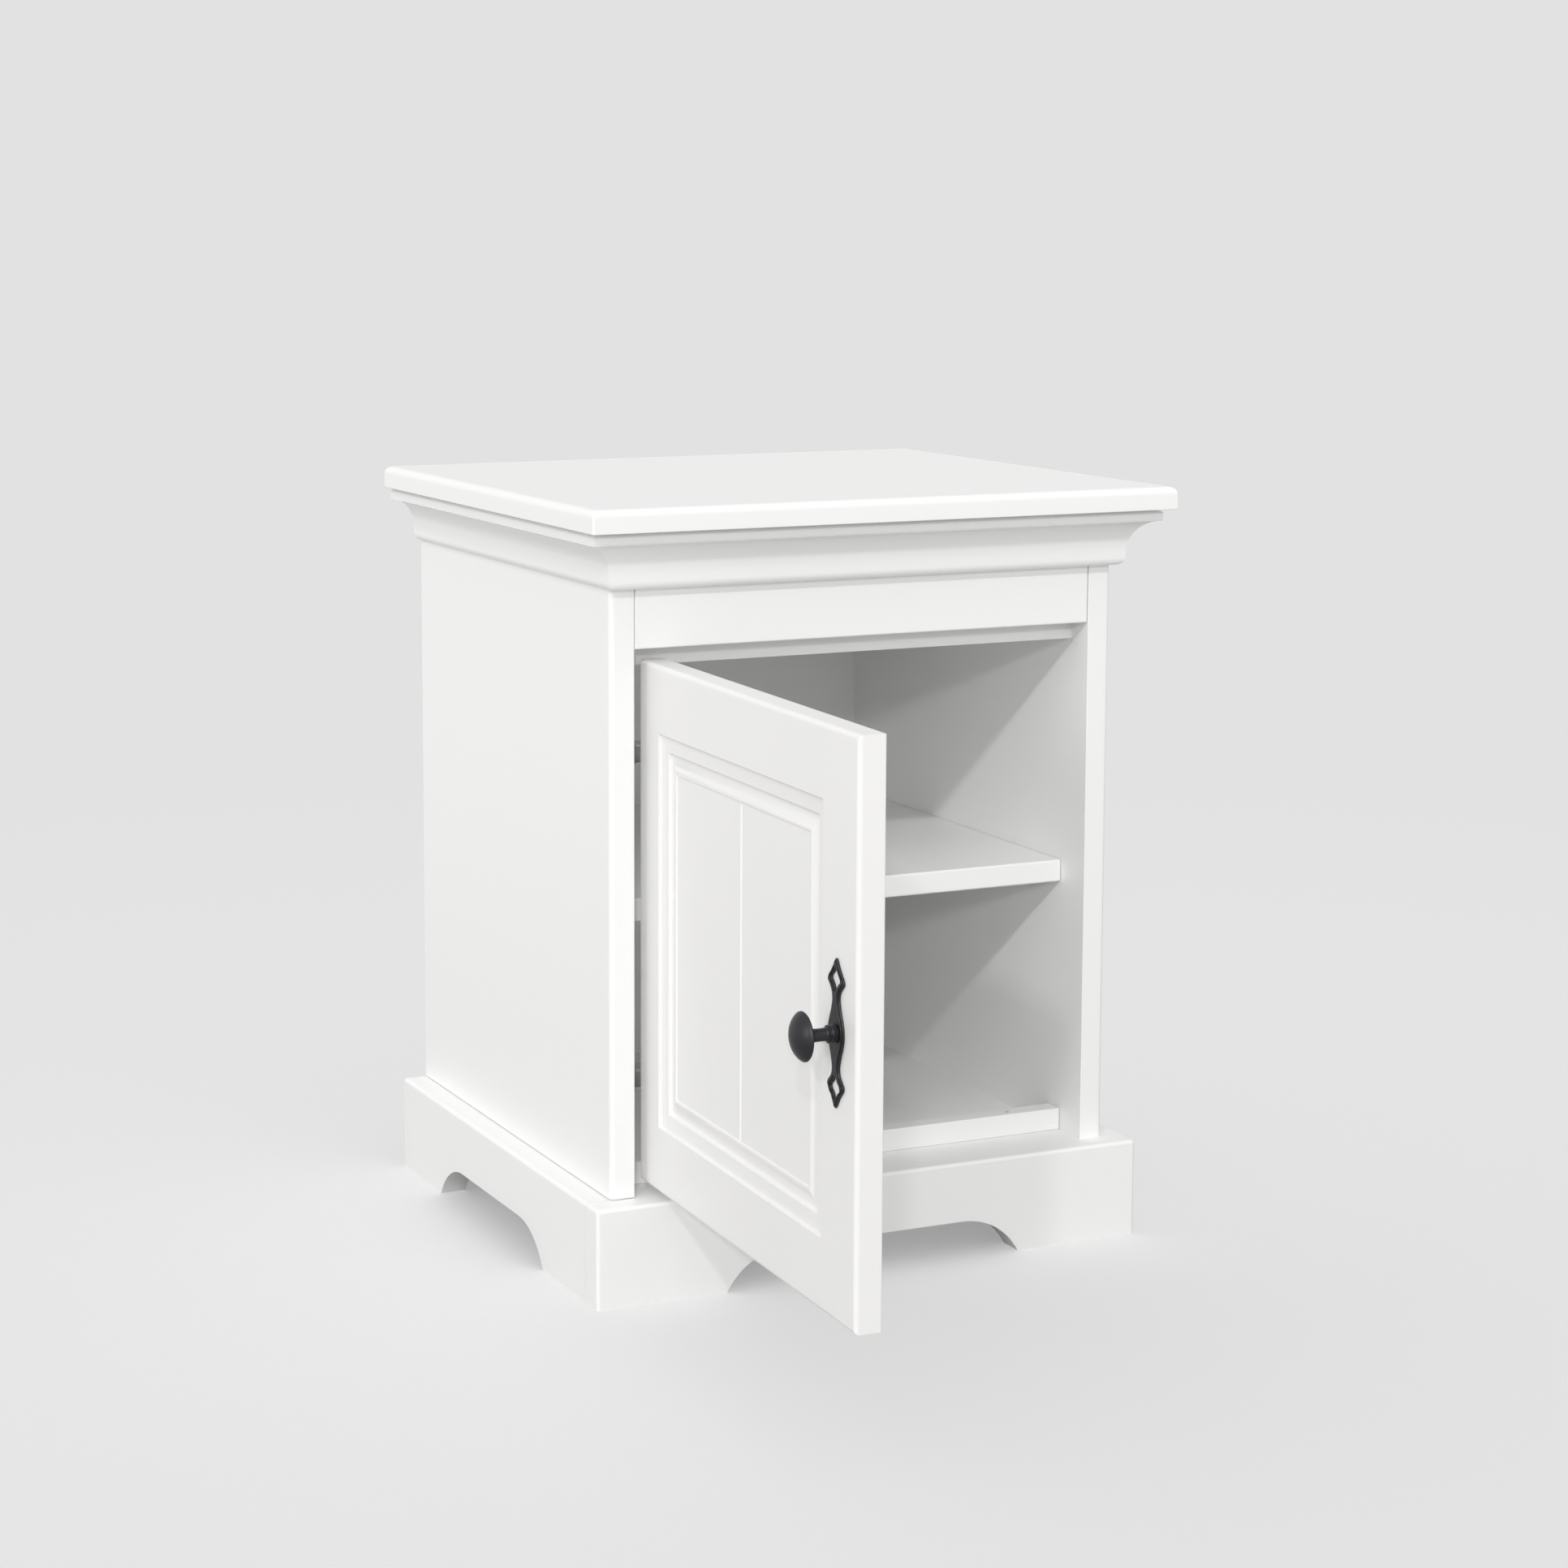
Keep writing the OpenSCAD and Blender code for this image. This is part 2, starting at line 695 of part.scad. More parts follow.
module milled_pocket() {
    x0 = frame_hinge_w;
    x1 = door_w - frame_free_w;
    z0 = door_z + frame_end_w;
    z1 = door_z + door_h - frame_end_w;
    inner = field_in + eps;
    // hinge side and free side
    intersection() {
        upright(z0, z1) translate([x0, 0]) cutter_section();
        side_wedge([x0, z0], [x0, z1], [1, 0]);
    }
    intersection() {
        upright(z0, z1) translate([x1, 0]) mirror([1, 0]) cutter_section();
        side_wedge([x1, z0], [x1, z1], [-1, 0]);
    }
    // bottom and top
    intersection() {
        translate([x0, 0, z0]) rotate([0, 90, 0]) rotate([0, 0, 90]) linear_extrude(x1 - x0)
            mirror([0, 1]) rotate(-90) mirror([0, 1]) cutter_section();
        side_wedge([x0, z0], [x1, z0], [0, 1]);
    }
    intersection() {
        translate([x0, 0, z1]) mirror([0, 0, 1]) rotate([0, 90, 0]) rotate([0, 0, 90]) linear_extrude(x1 - x0)
            mirror([0, 1]) rotate(-90) mirror([0, 1]) cutter_section();
        side_wedge([x0, z1], [x1, z1], [0, -1]);
    }
    // the field and the V-groove down its middle
    box([x0 + inner, -1, z0 + inner], [x1 - inner, field_d, z1 - inner]);
    upright(z0 + field_in, z1 - field_in)
        polygon([[(x0 + x1) / 2 - vee_w / 2, field_d - eps], [(x0 + x1) / 2, field_d + vee_w / 2],
            [(x0 + x1) / 2 + vee_w / 2, field_d - eps]]);
}

// Handle

// Outline of the backplate: leaf in the middle, a pierced loop and a tip at each end
neck_up = plate_h * 0.235;
loop_up = plate_h * 0.35;
pierce_up = plate_h * 0.362;
tip_up = plate_h / 2;
tip_w = 3.6;
loop_round = 1.4;

// One quarter of the outline, from the leaf's side to the upper tip
function plate_quarter() = let (neck = neck_w / 2, loop = loop_w / 2,
    leaf = [for (i = [0:arc_steps]) [neck + (plate_w / 2 - neck) * (1 + cos(180 * i / arc_steps)) / 2,
        neck_up * i / arc_steps]],
    under_loop = [for (i = [1:arc_steps]) [neck + (loop - loop_round - neck) * (1 - cos(90 * i / arc_steps)),
        neck_up + (loop_up - loop_round - neck_up) * sin(90 * i / arc_steps)]],
    shoulder = arc([loop - loop_round, loop_up], loop_round, -60, 50, 4),
    tip = arc([0, tip_up - tip_w / 2], tip_w / 2, 20, 90, 4))
    concat(leaf, under_loop, shoulder, tip);

module plate_outline() {
    q = plate_quarter();
    n = len(q) - 1;
    difference() {
        polygon(concat(q, [for (i = [n - 1:-1:0]) [-q[i][0], q[i][1]]],
            [for (i = [1:n]) -q[i]], [for (i = [n - 1:-1:1]) [q[i][0], -q[i][1]]]));
        for (k = [0, 1]) mirror([0, k]) translate([0, pierce_up])
            polygon([[0, -pierce_h / 2], [pierce_w / 2, 0], [0, pierce_h / 2], [-pierce_w / 2, 0]]);
        circle(d = knob_screw_d + 2 * fit_clear);
    }
}

module knob_backplate() {
    color(iron) on_door() translate([knob_s, 0, knob_z]) rotate([90, 0, 0])
        linear_extrude(plate_t) plate_outline();
}

// Sections of the knob, in radius and height above the backplate
collar_r = 6.6;
collar_t = 3.4;
neck_ring_r = 6;
stem_z = 4.2;
dome_h = 8;
rim_r = 1.6;
rim_z = knob_out - plate_t - dome_h;

module door_knob() {
    head_r = knob_d / 2;
    stem_r = stem_d / 2;
    dome_r = head_r - rim_r / 2;
    color(iron) on_door() translate([knob_s, -plate_t, knob_z]) rotate([90, 0, 0]) rotate_extrude($fn = 64)
        difference() {
            polygon(concat([[0, 0], [collar_r, 0], [collar_r, collar_t / 2],
                [collar_r - 1, collar_t * 0.6], [neck_ring_r, collar_t], [stem_r, stem_z],
                [stem_r * 0.9, rim_z * 0.6], [stem_r * 1.3, rim_z - 2 * rim_r]],
                arc([head_r - rim_r, rim_z], rim_r, -75, 60, 6),
                [for (i = [1:arc_steps]) [dome_r * cos(90 * i / arc_steps),
                    rim_z + rim_r + (dome_h - rim_r) * sin(90 * i / arc_steps)]]));
            square([knob_screw_d / 2 + fit_clear, rim_z - 2 * rim_r]);
        }
}

// The screw comes through the door from behind and ends inside the knob
knob_head_d = 8;
knob_head_t = 2.4;
knob_grip = 1.5;

module knob_screw() {
    reach = plate_t + rim_z - 2 * rim_r - knob_grip;
    color(zinc) on_door() translate([knob_s, 0, knob_z]) {
        translate([0, door_t, 0]) rotate([-90, 0, 0])
            cylinder(d1 = knob_head_d, d2 = knob_head_d - 1, h = knob_head_t);
        translate([0, door_t, 0]) rotate([90, 0, 0]) cylinder(d = knob_screw_d, h = door_t + reach);
    }
}

// Hinges

hinge_bar = 2;
inner_link_w = 7;
outer_plate_t = 1.4;
outer_plate_z = 4.2;
cheek_z = 6.2;
cheek_t = 1.6;
nose_r = 3.1;
web_t = 1.8;
flange_t = 1.2;
flange_w = 12;
cup_screw_d = 3;
cup_screw_reach = 22.5;
cup_screw_l = 10;
cup_head_d = 6;
cup_head_t = 1.6;
plate_screw_d = 3.5;
plate_screw_span = 32;
mount_t = 4;
mount_front = 18;
mount_rear = 24;
wing_r = 8;
plate_screw_l = 14;
plate_head_t = 1.8;
arm_back_y = 84;
arm_foot_y = 50;
arm_rise = 8;

module at_hinges() {
    for (z = hinge_zs) translate([0, 0, z]) children();
}

// Ribbon of one width along a list of points, mitred at each bend
function left_of(d) = [-d[1], d[0]] / norm(d);
function mitre_at(p, q, r, t) = let (m = left_of(r - q) + left_of(q - p))
    q + m * t / (m * left_of(q - p));
function side_line(pts, t) = let (n = len(pts) - 1) [for (i = [0:n])
    i == 0 ? pts[0] + t * left_of(pts[1] - pts[0])
    : i == n ? pts[n] + t * left_of(pts[n] - pts[n - 1])
    : mitre_at(pts[i - 1], pts[i], pts[i + 1], t)];

module ribbon(pts, w) {
    there = side_line(pts, w / 2);
    back = side_line(pts, -w / 2);
    polygon(concat(there, [for (i = [len(back) - 1:-1:0]) back[i]]));
}

// One link in plan: an eye round the arm's pivot, and a round end in the cup
module link_plan(pivot, bends, end) {
    ring = (nose_r + pin_d / 2) / 2;
    ribbon(concat([pivot + ring * (bends[0] - pivot) / norm(bends[0] - pivot)], bends, [end]), hinge_bar);
    translate(end) circle(r = hinge_bar / 2 + 0.2);
    translate(pivot) difference() {
        circle(r = nose_r - 0.3);
        circle(d = pin_d + 2 * pin_clear);
    }
}

// The inner link is one bar between the two plates of the outer link
module inner_links() {
    color(zinc) placed() translate([axis_x, axis_back, 0]) at_hinges() translate([0, 0, -inner_link_w / 2])
        linear_extrude(inner_link_w) link_plan(inner_pivot, inner_bends, inner_end);
}

module outer_links() {
    color(zinc) placed() translate([axis_x, axis_back, 0]) at_hinges()
        for (z = [outer_plate_z, -outer_plate_z - outer_plate_t]) translate([0, 0, z])
            linear_extrude(outer_plate_t) link_plan(outer_pivot, outer_bends, outer_end);
}

// Arm of the hinge: two side cheeks, cranked over the door's edge, and the web along its back
arm_base = mount_t - half_in - axis_x;
arm_line = [[arm_base + arm_rise, arm_back_y - axis_back],
    [arm_base + 1.5 * arm_rise, arm_foot_y + nose_r - axis_back],
    [outer_pivot[0] + nose_r, outer_pivot[1] + 2 * nose_r]];

module arm_cheek() {
    polygon(concat([[arm_base, arm_back_y - axis_back]], arm_line, arc(inner_pivot, nose_r, 0, -150),
        [[outer_pivot[0] / 2, outer_pivot[1] - 1.2], [-1, outer_pivot[1] + 2],
        [arm_base / 2, (outer_pivot[1] + arm_foot_y - axis_back) / 2 - 3],
        [arm_base, arm_foot_y - axis_back]]));
}

module hinge_arms() {
    color(zinc) placed() translate([axis_x, axis_back, 0]) at_hinges() {
        for (z = [cheek_z, -cheek_z - cheek_t]) translate([0, 0, z]) linear_extrude(cheek_t) difference() {
            arm_cheek();
            translate(inner_pivot) circle(d = pin_d + 2 * fit_clear);
            translate(outer_pivot) circle(d = pin_d + 2 * fit_clear);
        }
        translate([0, 0, -cheek_z]) linear_extrude(2 * cheek_z) intersection() {
            arm_cheek();
            ribbon(arm_line, 2 * web_t);
        }
    }
}

module hinge_pins() {
    color(zinc) placed() translate([axis_x, axis_back, 0]) at_hinges() for (p = [inner_pivot, outer_pivot])
        translate([p[0], p[1], -cheek_z - cheek_t]) cylinder(d = pin_d, h = 2 * (cheek_z + cheek_t));
}

module plate_screw_set(r, extra) {
    at_hinges() for (k = [-1, 1])
        translate([-half_in - plate_screw_l - extra, plate_setback, k * plate_screw_span / 2])
            rotate([0, 90, 0]) cylinder(r = r, h = plate_screw_l + extra + mount_t);
}

// Mounting plate: a body under the arm and a wing to each screw
module hinge_plates() {
    color(zinc) placed() difference() {
        at_hinges() translate([-half_in, 0, 0]) {
            box([0, plate_setback - mount_front, -cheek_z - cheek_t],
                [mount_t, plate_setback + mount_rear, cheek_z + cheek_t]);
            translate([0, plate_setback, 0]) rotate([0, 90, 0]) linear_extrude(mount_t / 2) {
                square([plate_screw_span, 2 * wing_r], center = true);
                for (k = [-1, 1]) translate([k * plate_screw_span / 2, 0]) circle(r = wing_r);
            }
        }
        plate_screw_set(plate_screw_d / 2 + fit_clear, fit_clear);
    }
}

module hinge_plate_screws() {
    color(zinc) placed() {
        intersection() {
            plate_screw_set(plate_screw_d / 2, 0);
            box([-half_w, 0, 0], [-half_in + mount_t / 2, carcass_d, overall_h]);
        }
        at_hinges() for (k = [-1, 1])
            translate([-half_in + mount_t / 2, plate_setback, k * plate_screw_span / 2])
                rotate([0, 90, 0]) cylinder(d1 = 2 * plate_screw_d, d2 = plate_screw_d, h = plate_head_t);
    }
}

module cup_screw_set(r, extra) {
    for (z = hinge_zs, k = [-1, 1])
        translate([cup_s + flange_w / 2, door_t + extra, z + k * cup_screw_reach]) rotate([90, 0, 0])
            cylinder(r = r, h = cup_screw_l + 2 * extra);
}

// Cup with an open mouth, and the wings that lie on the door's back
module hinge_cups() {
    cup_r = cup_d / 2 - fit_clear;
    color(zinc) on_door() difference() {
        for (z = hinge_zs) translate([0, 0, z]) {
            translate([cup_s, door_t, 0]) rotate([90, 0, 0]) cylinder(r = cup_r, h = cup_depth);
            translate([cup_s + flange_w / 2, door_t + flange_t, 0]) rotate([90, 0, 0])
                linear_extrude(flange_t) {
                    square([flange_w, 2 * cup_screw_reach], center = true);
                    for (k = [-1, 1]) translate([0, k * cup_screw_reach]) circle(r = flange_w / 2);
                }
        }
        for (z = hinge_zs)
            translate([cup_s, door_t + flange_t + 1, z]) rotate([90, 0, 0])
                cylinder(r = cup_r - cup_wall, h = cup_depth - cup_wall + flange_t + 1);
        cup_screw_set(cup_screw_d / 2 + fit_clear, flange_t + 1);
    }
}

module hinge_cup_screws() {
    color(zinc) on_door() {
        cup_screw_set(cup_screw_d / 2, 0);
        for (z = hinge_zs, k = [-1, 1])
            translate([cup_s + flange_w / 2, door_t, z + k * cup_screw_reach]) rotate([-90, 0, 0])
                cylinder(d = cup_screw_d, h = flange_t);
        for (z = hinge_zs, k = [-1, 1])
            translate([cup_s + flange_w / 2, door_t + flange_t, z + k * cup_screw_reach]) rotate([-90, 0, 0])
                cylinder(d1 = cup_head_d, d2 = cup_head_d - 2, h = cup_head_t);
    }
}

placed() top_board();
placed() cornice_front();
placed() cornice_left();
placed() cornice_right();
placed() front_rail();
placed() ceiling_board();
placed() side_panel_left();
placed() side_panel_right();
placed() back_panel();
placed() floor_board();
placed() shelf();
placed() shelf_pins();
placed() lower_stop();
placed() lower_stop_screws();
placed() plinth_front();
placed() plinth_left();
placed() plinth_right();
placed() plinth_back_rail();
placed() plinth_blocks();
placed() rear_stretcher();
placed() floor_dowels();
placed() top_dowels();
placed() ceiling_dowels();
placed() back_screws();
hinge_plates();
hinge_plate_screws();
hinge_arms();
hinge_pins();
inner_links();
outer_links();
door_panel();
hinge_cups();
hinge_cup_screws();
knob_backplate();
door_knob();
knob_screw();
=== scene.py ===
"""Nightstand with one open door: looks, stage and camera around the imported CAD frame."""

import json
import math

import bmesh
import bpy
from mathutils import Matrix, Vector


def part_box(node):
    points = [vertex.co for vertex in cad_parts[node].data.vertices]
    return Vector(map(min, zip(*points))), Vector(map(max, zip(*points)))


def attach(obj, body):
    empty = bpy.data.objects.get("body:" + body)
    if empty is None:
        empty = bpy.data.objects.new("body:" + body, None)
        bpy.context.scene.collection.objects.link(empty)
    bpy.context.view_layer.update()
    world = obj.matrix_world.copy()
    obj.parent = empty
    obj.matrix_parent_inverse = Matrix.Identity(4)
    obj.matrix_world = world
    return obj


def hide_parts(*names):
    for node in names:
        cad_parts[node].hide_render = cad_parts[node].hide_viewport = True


bl_info = {
    "name": "Painted nightstand",
    "version": (1, 0, 0),
    "blender": (4, 5, 0),
    "location": "View3D > Sidebar > Nightstand",
    "description": "Builds the visible pieces, finishes and stage of a painted nightstand with one door",
    "category": "Add Mesh",
}

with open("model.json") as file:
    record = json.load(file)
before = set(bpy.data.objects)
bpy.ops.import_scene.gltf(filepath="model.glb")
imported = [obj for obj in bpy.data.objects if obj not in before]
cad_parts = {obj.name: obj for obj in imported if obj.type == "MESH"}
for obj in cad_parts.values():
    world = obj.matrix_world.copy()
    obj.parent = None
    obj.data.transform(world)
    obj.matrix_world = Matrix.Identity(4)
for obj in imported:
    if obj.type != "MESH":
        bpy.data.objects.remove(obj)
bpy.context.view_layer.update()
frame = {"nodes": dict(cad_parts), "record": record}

# A millimetre, the tolerances of a place and of a weld in metres, and how square a flat face stands
MM = 0.001
NEAR = 1e-5
WELD = 1e-6
FLAT = 0.999
UP = Vector((0, 0, 1))

# Places that the frame gives
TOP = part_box("top_board")
RIGHT_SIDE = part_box("side_panel_right")
HALF_WIDTH = RIGHT_SIDE[1][0]
HALF_INNER = RIGHT_SIDE[0][0]
FRONT_Y = RIGHT_SIDE[0][1]
BACK_Y = RIGHT_SIDE[1][1]
UNDER_TOP = TOP[0][2]
HINGE_JOINT = [j for j in frame["record"]["behaviour"]["joints"] if j["name"] == "door_hinge"][0]
HINGE_AXIS = Vector(HINGE_JOINT["pos_m"])
REST_ANGLE = math.radians(HINGE_JOINT["range_deg"][1])
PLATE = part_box("knob_backplate")

# The shut door, its frame round the milled field, and the knob's distance from its free edge
DOOR_GAP = 2.5 * MM
DOOR_LEFT = DOOR_GAP - HALF_INNER
DOOR_RIGHT = HALF_INNER - DOOR_GAP
FRAME_HINGE = 39.1 * MM
FRAME_FREE = 55.1 * MM
FRAME_END = 50.6 * MM
KNOB_IN = 30 * MM

# Feet of the plinth beside its arches, screw holes of the batten, and edges that are barely eased
FRONT_FOOT = 108.5 * MM
REAR_FOOT = 89 * MM
STOP_HOLE_R = 2.35 * MM
STOP_HOLE_DEPTH = 9 * MM
FAINT_EDGE = 0.8 * MM


# Sizes and colours that a user would change

class NightstandSizes(bpy.types.PropertyGroup):
    """Sizes of the visible edges and profiles, in metres."""
    top_edge: bpy.props.FloatProperty(
        name="Top edge radius", description="Rounding of the top board's upper edges",
        default=6 * MM, min=0.002, max=0.008, unit="LENGTH")
    top_corner: bpy.props.FloatProperty(
        name="Top corner radius", description="Rounding of the top board's upright corners",
        default=1.8 * MM, min=0.0005, max=0.004, unit="LENGTH")
    rail_edge: bpy.props.FloatProperty(
        name="Rail edge radius", description="Easing of the front rail's lower and upright edges",
        default=1.5 * MM, min=0.0003, max=0.004, unit="LENGTH")
    shelf_edge: bpy.props.FloatProperty(
        name="Shelf edge radius", description="Easing of the shelf's front edges",
        default=1.68 * MM, min=0.0003, max=0.004, unit="LENGTH")
    stop_edge: bpy.props.FloatProperty(
        name="Batten edge radius", description="Easing of the lower stop batten's long edges",
        default=1.0 * MM, min=0.0003, max=0.002, unit="LENGTH")
    seam_gap: bpy.props.FloatProperty(
        name="Seam gap", description="Width of the dark line where two boards meet",
        default=0.7 * MM, min=0.0002, max=0.001, unit="LENGTH")
    seam_depth: bpy.props.FloatProperty(
        name="Seam depth", description="Depth of the dark line where two boards meet",
        default=3 * MM, min=0.0005, max=0.004, unit="LENGTH")
    side_edge: bpy.props.FloatProperty(
        name="Side edge radius", description="Rounding of the side panels' outer front edges",
        default=4 * MM, min=0.001, max=0.006, unit="LENGTH")
    plinth_edge: bpy.props.FloatProperty(
        name="Plinth edge radius", description="Rounding of the plinth's upper and upright edges",
        default=3 * MM, min=0.001, max=0.005, unit="LENGTH")
    arch_radius: bpy.props.FloatProperty(
        name="Arch radius", description="Radius of the arches' round ends",
        default=57 * MM, min=0.04, max=0.07, unit="LENGTH")
    arch_height: bpy.props.FloatProperty(
        name="Arch height", description="Height of the arches above the floor",
        default=30 * MM, min=0.02, max=0.034, unit="LENGTH")
    cove_run: bpy.props.FloatProperty(
        name="Cove run", description="Width of the cornice's cove",
        default=21 * MM, min=0.014, max=0.024, unit="LENGTH")
    lip_radius: bpy.props.FloatProperty(
        name="Lip radius", description="Rounding under the cornice's lip",
        default=6 * MM, min=0.003, max=0.006, unit="LENGTH")
    door_edge: bpy.props.FloatProperty(
        name="Door edge radius", description="Rounding of the door's front edges",
        default=3.6 * MM, min=0.001, max=0.004, unit="LENGTH")
    step_depth: bpy.props.FloatProperty(
        name="Step depth", description="Depth of the first step of the door's milled face",
        default=2.6 * MM, min=0.0015, max=0.003, unit="LENGTH")
    groove_depth: bpy.props.FloatProperty(
        name="Groove depth", description="Depth of the groove round the door's field",
        default=6 * MM, min=0.0055, max=0.0063, unit="LENGTH")
    bead_depth: bpy.props.FloatProperty(
        name="Bead depth", description="Depth of the bead at the field's edge",
        default=3.3 * MM, min=0.003, max=0.0038, unit="LENGTH")
    field_depth: bpy.props.FloatProperty(
        name="Field depth", description="Depth of the door's field",
        default=4.3 * MM, min=0.0042, max=0.005, unit="LENGTH")
    door_thickness: bpy.props.FloatProperty(
        name="Door thickness", description="Thickness of the door",
        default=20 * MM, min=0.018, max=0.0203, unit="LENGTH")
    knob_diameter: bpy.props.FloatProperty(
        name="Knob diameter", description="Diameter of the knob's head",
        default=34 * MM, min=0.03, max=0.036, unit="LENGTH")


class NightstandColours(bpy.types.PropertyGroup):
    """Base colours of the finishes."""
    lacquer: bpy.props.FloatVectorProperty(
        name="Lacquer", description="White satin lacquer", subtype="COLOR", size=3,
        default=(0.912, 0.906, 0.892), min=0, max=1)
    board: bpy.props.FloatVectorProperty(
        name="Back board", description="White faced board of the back panel", subtype="COLOR", size=3,
        default=(0.87, 0.866, 0.852), min=0, max=1)
    iron: bpy.props.FloatVectorProperty(
        name="Iron", description="Antiqued black iron of the handle", subtype="COLOR", size=3,
        default=(0.0095, 0.0088, 0.0080), min=0, max=1)
    zinc: bpy.props.FloatVectorProperty(
        name="Zinc", description="Plated steel of hinges and screws", subtype="COLOR", size=3,
        default=(0.74, 0.73, 0.71), min=0, max=1)
    beech: bpy.props.FloatVectorProperty(
        name="Beech", description="Bare beech of dowels and blocks", subtype="COLOR", size=3,
        default=(0.60, 0.42, 0.26), min=0, max=1)
    backdrop: bpy.props.FloatVectorProperty(
        name="Backdrop", description="Pale studio floor and background", subtype="COLOR", size=3,
        default=(0.760, 0.760, 0.760), min=0, max=1)


def sizes():
    return bpy.context.scene.nightstand_sizes


def colours():
    return bpy.context.scene.nightstand_colours


# Node helpers

def put(target, value):
    """Gives an input its value, or links it to the socket that feeds it."""
    if isinstance(value, bpy.types.NodeSocket):
        target.id_data.links.new(value, target)
    else:
        target.default_value = value


def feed(node, *ordered, **named):
    """Sets a node's properties and fills its inputs, by name or in order.

    Underscores stand for the spaces in an input's name."""
    for key, value in named.items():
        label = key.replace("_", " ")
        if label in node.inputs:
            put(node.inputs[label], value)
        else:
            setattr(node, key, value)
    for target, value in zip(node.inputs, ordered):
        put(target, value)
    return node


def add_node(tree, kind, *ordered, **named):
    return feed(tree.nodes.new(kind), *ordered, **named)


def noise(tree, place, **settings):
    """The value of a noise texture."""
    return add_node(tree, "ShaderNodeTexNoise", Vector=place, **settings).outputs["Fac"]


def remap(tree, value, **limits):
    """A value stretched from one range to another."""
    return add_node(tree, "ShaderNodeMapRange", Value=value, **limits).outputs["Result"]


def blend(tree, factor, first, second):
    """A colour between two others."""
    node = add_node(tree, "ShaderNodeMix", data_type="RGBA", Factor=factor, A=first, B=second)
    return node.outputs["Result"]


def bump(tree, height, distance, strength):
    """The surface normal that a height gives, with the distance in metres."""
    node = add_node(tree, "ShaderNodeBump", Height=height, Distance=distance, Strength=strength)
    return node.outputs["Normal"]


def rgba(colour, by=1.0):
    """An opaque colour, made darker by a factor."""
    return (*(by * c for c in colour), 1)


def group_tree(name, inputs, outputs):
    """A new node group, the sockets that enter it and its output node."""
    tree = bpy.data.node_groups.new(name, "ShaderNodeTree")
    for label, kind, value in inputs:
        socket = tree.interface.new_socket(label, in_out="INPUT", socket_type=kind)
        if value is not None:
            socket.default_value = value
    for label, kind in outputs:
        tree.interface.new_socket(label, in_out="OUTPUT", socket_type=kind)
    return tree, tree.nodes.new("NodeGroupInput").outputs, tree.nodes.new("NodeGroupOutput")


def paint_film_group():
    """Sprayed film: faint cloud in the colour, small change of gloss and a fine skin."""
    tree, entry, leave = group_tree(
        "paint_film",
        [("Vector", "NodeSocketVector", None), ("Colour", "NodeSocketColor", (0.8, 0.8, 0.8, 1)),
         ("Cloud", "NodeSocketFloat", 0.02), ("Gloss", "NodeSocketFloat", 0.4),
         ("Skin Scale", "NodeSocketFloat", 900.0)],
        [("Colour", "NodeSocketColor"), ("Roughness", "NodeSocketFloat"), ("Height", "NodeSocketFloat")])
    place = entry["Vector"]
    cloud_tint = (0.55, 0.54, 0.52, 1)
    gloss_change = 0.10
    cloud = noise(tree, place, Scale=7.0, Detail=3.0, Roughness=0.5)
    tone = remap(tree, cloud, From_Min=0.3, From_Max=0.7, To_Max=entry["Cloud"])
    patch = noise(tree, place, Scale=24.0, Detail=2.0)
    gloss = add_node(tree, "ShaderNodeMath", patch, gloss_change, entry["Gloss"], operation="MULTIPLY_ADD")
    skin = noise(tree, place, Scale=entry["Skin Scale"], Detail=2.0, Roughness=0.4)
    feed(leave, Colour=blend(tree, tone, entry["Colour"], cloud_tint), Roughness=gloss.outputs["Value"],
         Height=skin)


def wood_grain_group():
    """Straight grain with fine pores, for bare wood."""
    tree, entry, leave = group_tree(
        "wood_grain",
        [("Vector", "NodeSocketVector", None), ("Light", "NodeSocketColor", (0.6, 0.4, 0.25, 1)),
         ("Dark", "NodeSocketColor", (0.4, 0.25, 0.14, 1)), ("Scale", "NodeSocketFloat", 30.0)],
        [("Colour", "NodeSocketColor"), ("Height", "NodeSocketFloat")])
    stretch = add_node(tree, "ShaderNodeMapping", Vector=entry["Vector"], Scale=(6.0, 6.0, 0.6))
    bands = noise(tree, stretch.outputs["Vector"], Scale=entry["Scale"], Detail=5.0, Roughness=0.6,
                  Distortion=0.4)
    feed(leave, Colour=blend(tree, bands, entry["Light"], entry["Dark"]), Height=bands)


def cast_skin_group():
    """Grain and rubbed patches of a black waxed iron casting."""
    tree, entry, leave = group_tree(
        "cast_skin",
        [("Vector", "NodeSocketVector", None), ("Black", "NodeSocketColor", (0.02, 0.02, 0.02, 1)),
         ("Rubbed", "NodeSocketColor", (0.12, 0.11, 0.10, 1)), ("Amount", "NodeSocketFloat", 0.5)],
        [("Colour", "NodeSocketColor"), ("Roughness", "NodeSocketFloat"), ("Height", "NodeSocketFloat")])
    place = entry["Vector"]
    patch = noise(tree, place, Scale=160.0, Detail=4.0, Roughness=0.6)
    rubbed = remap(tree, patch, From_Min=0.52, From_Max=0.72, To_Max=entry["Amount"])
    rough = remap(tree, patch, To_Min=0.38, To_Max=0.18)
    grit = noise(tree, place, Scale=1100.0, Detail=2.0, Roughness=0.6)
    feed(leave, Colour=blend(tree, rubbed, entry["Black"], entry["Rubbed"]), Roughness=rough, Height=grit)


def fresh_material(name):
    """The node tree of a new material, its shader and the socket of Object coordinates."""
    material = bpy.data.materials.new(name)
    material.use_nodes = True
    tree = material.node_tree
    tree.nodes.clear()
    shader = add_node(tree, "ShaderNodeBsdfPrincipled")
    add_node(tree, "ShaderNodeOutputMaterial", Surface=shader.outputs["BSDF"])
    return tree, shader, add_node(tree, "ShaderNodeTexCoord").outputs["Object"]


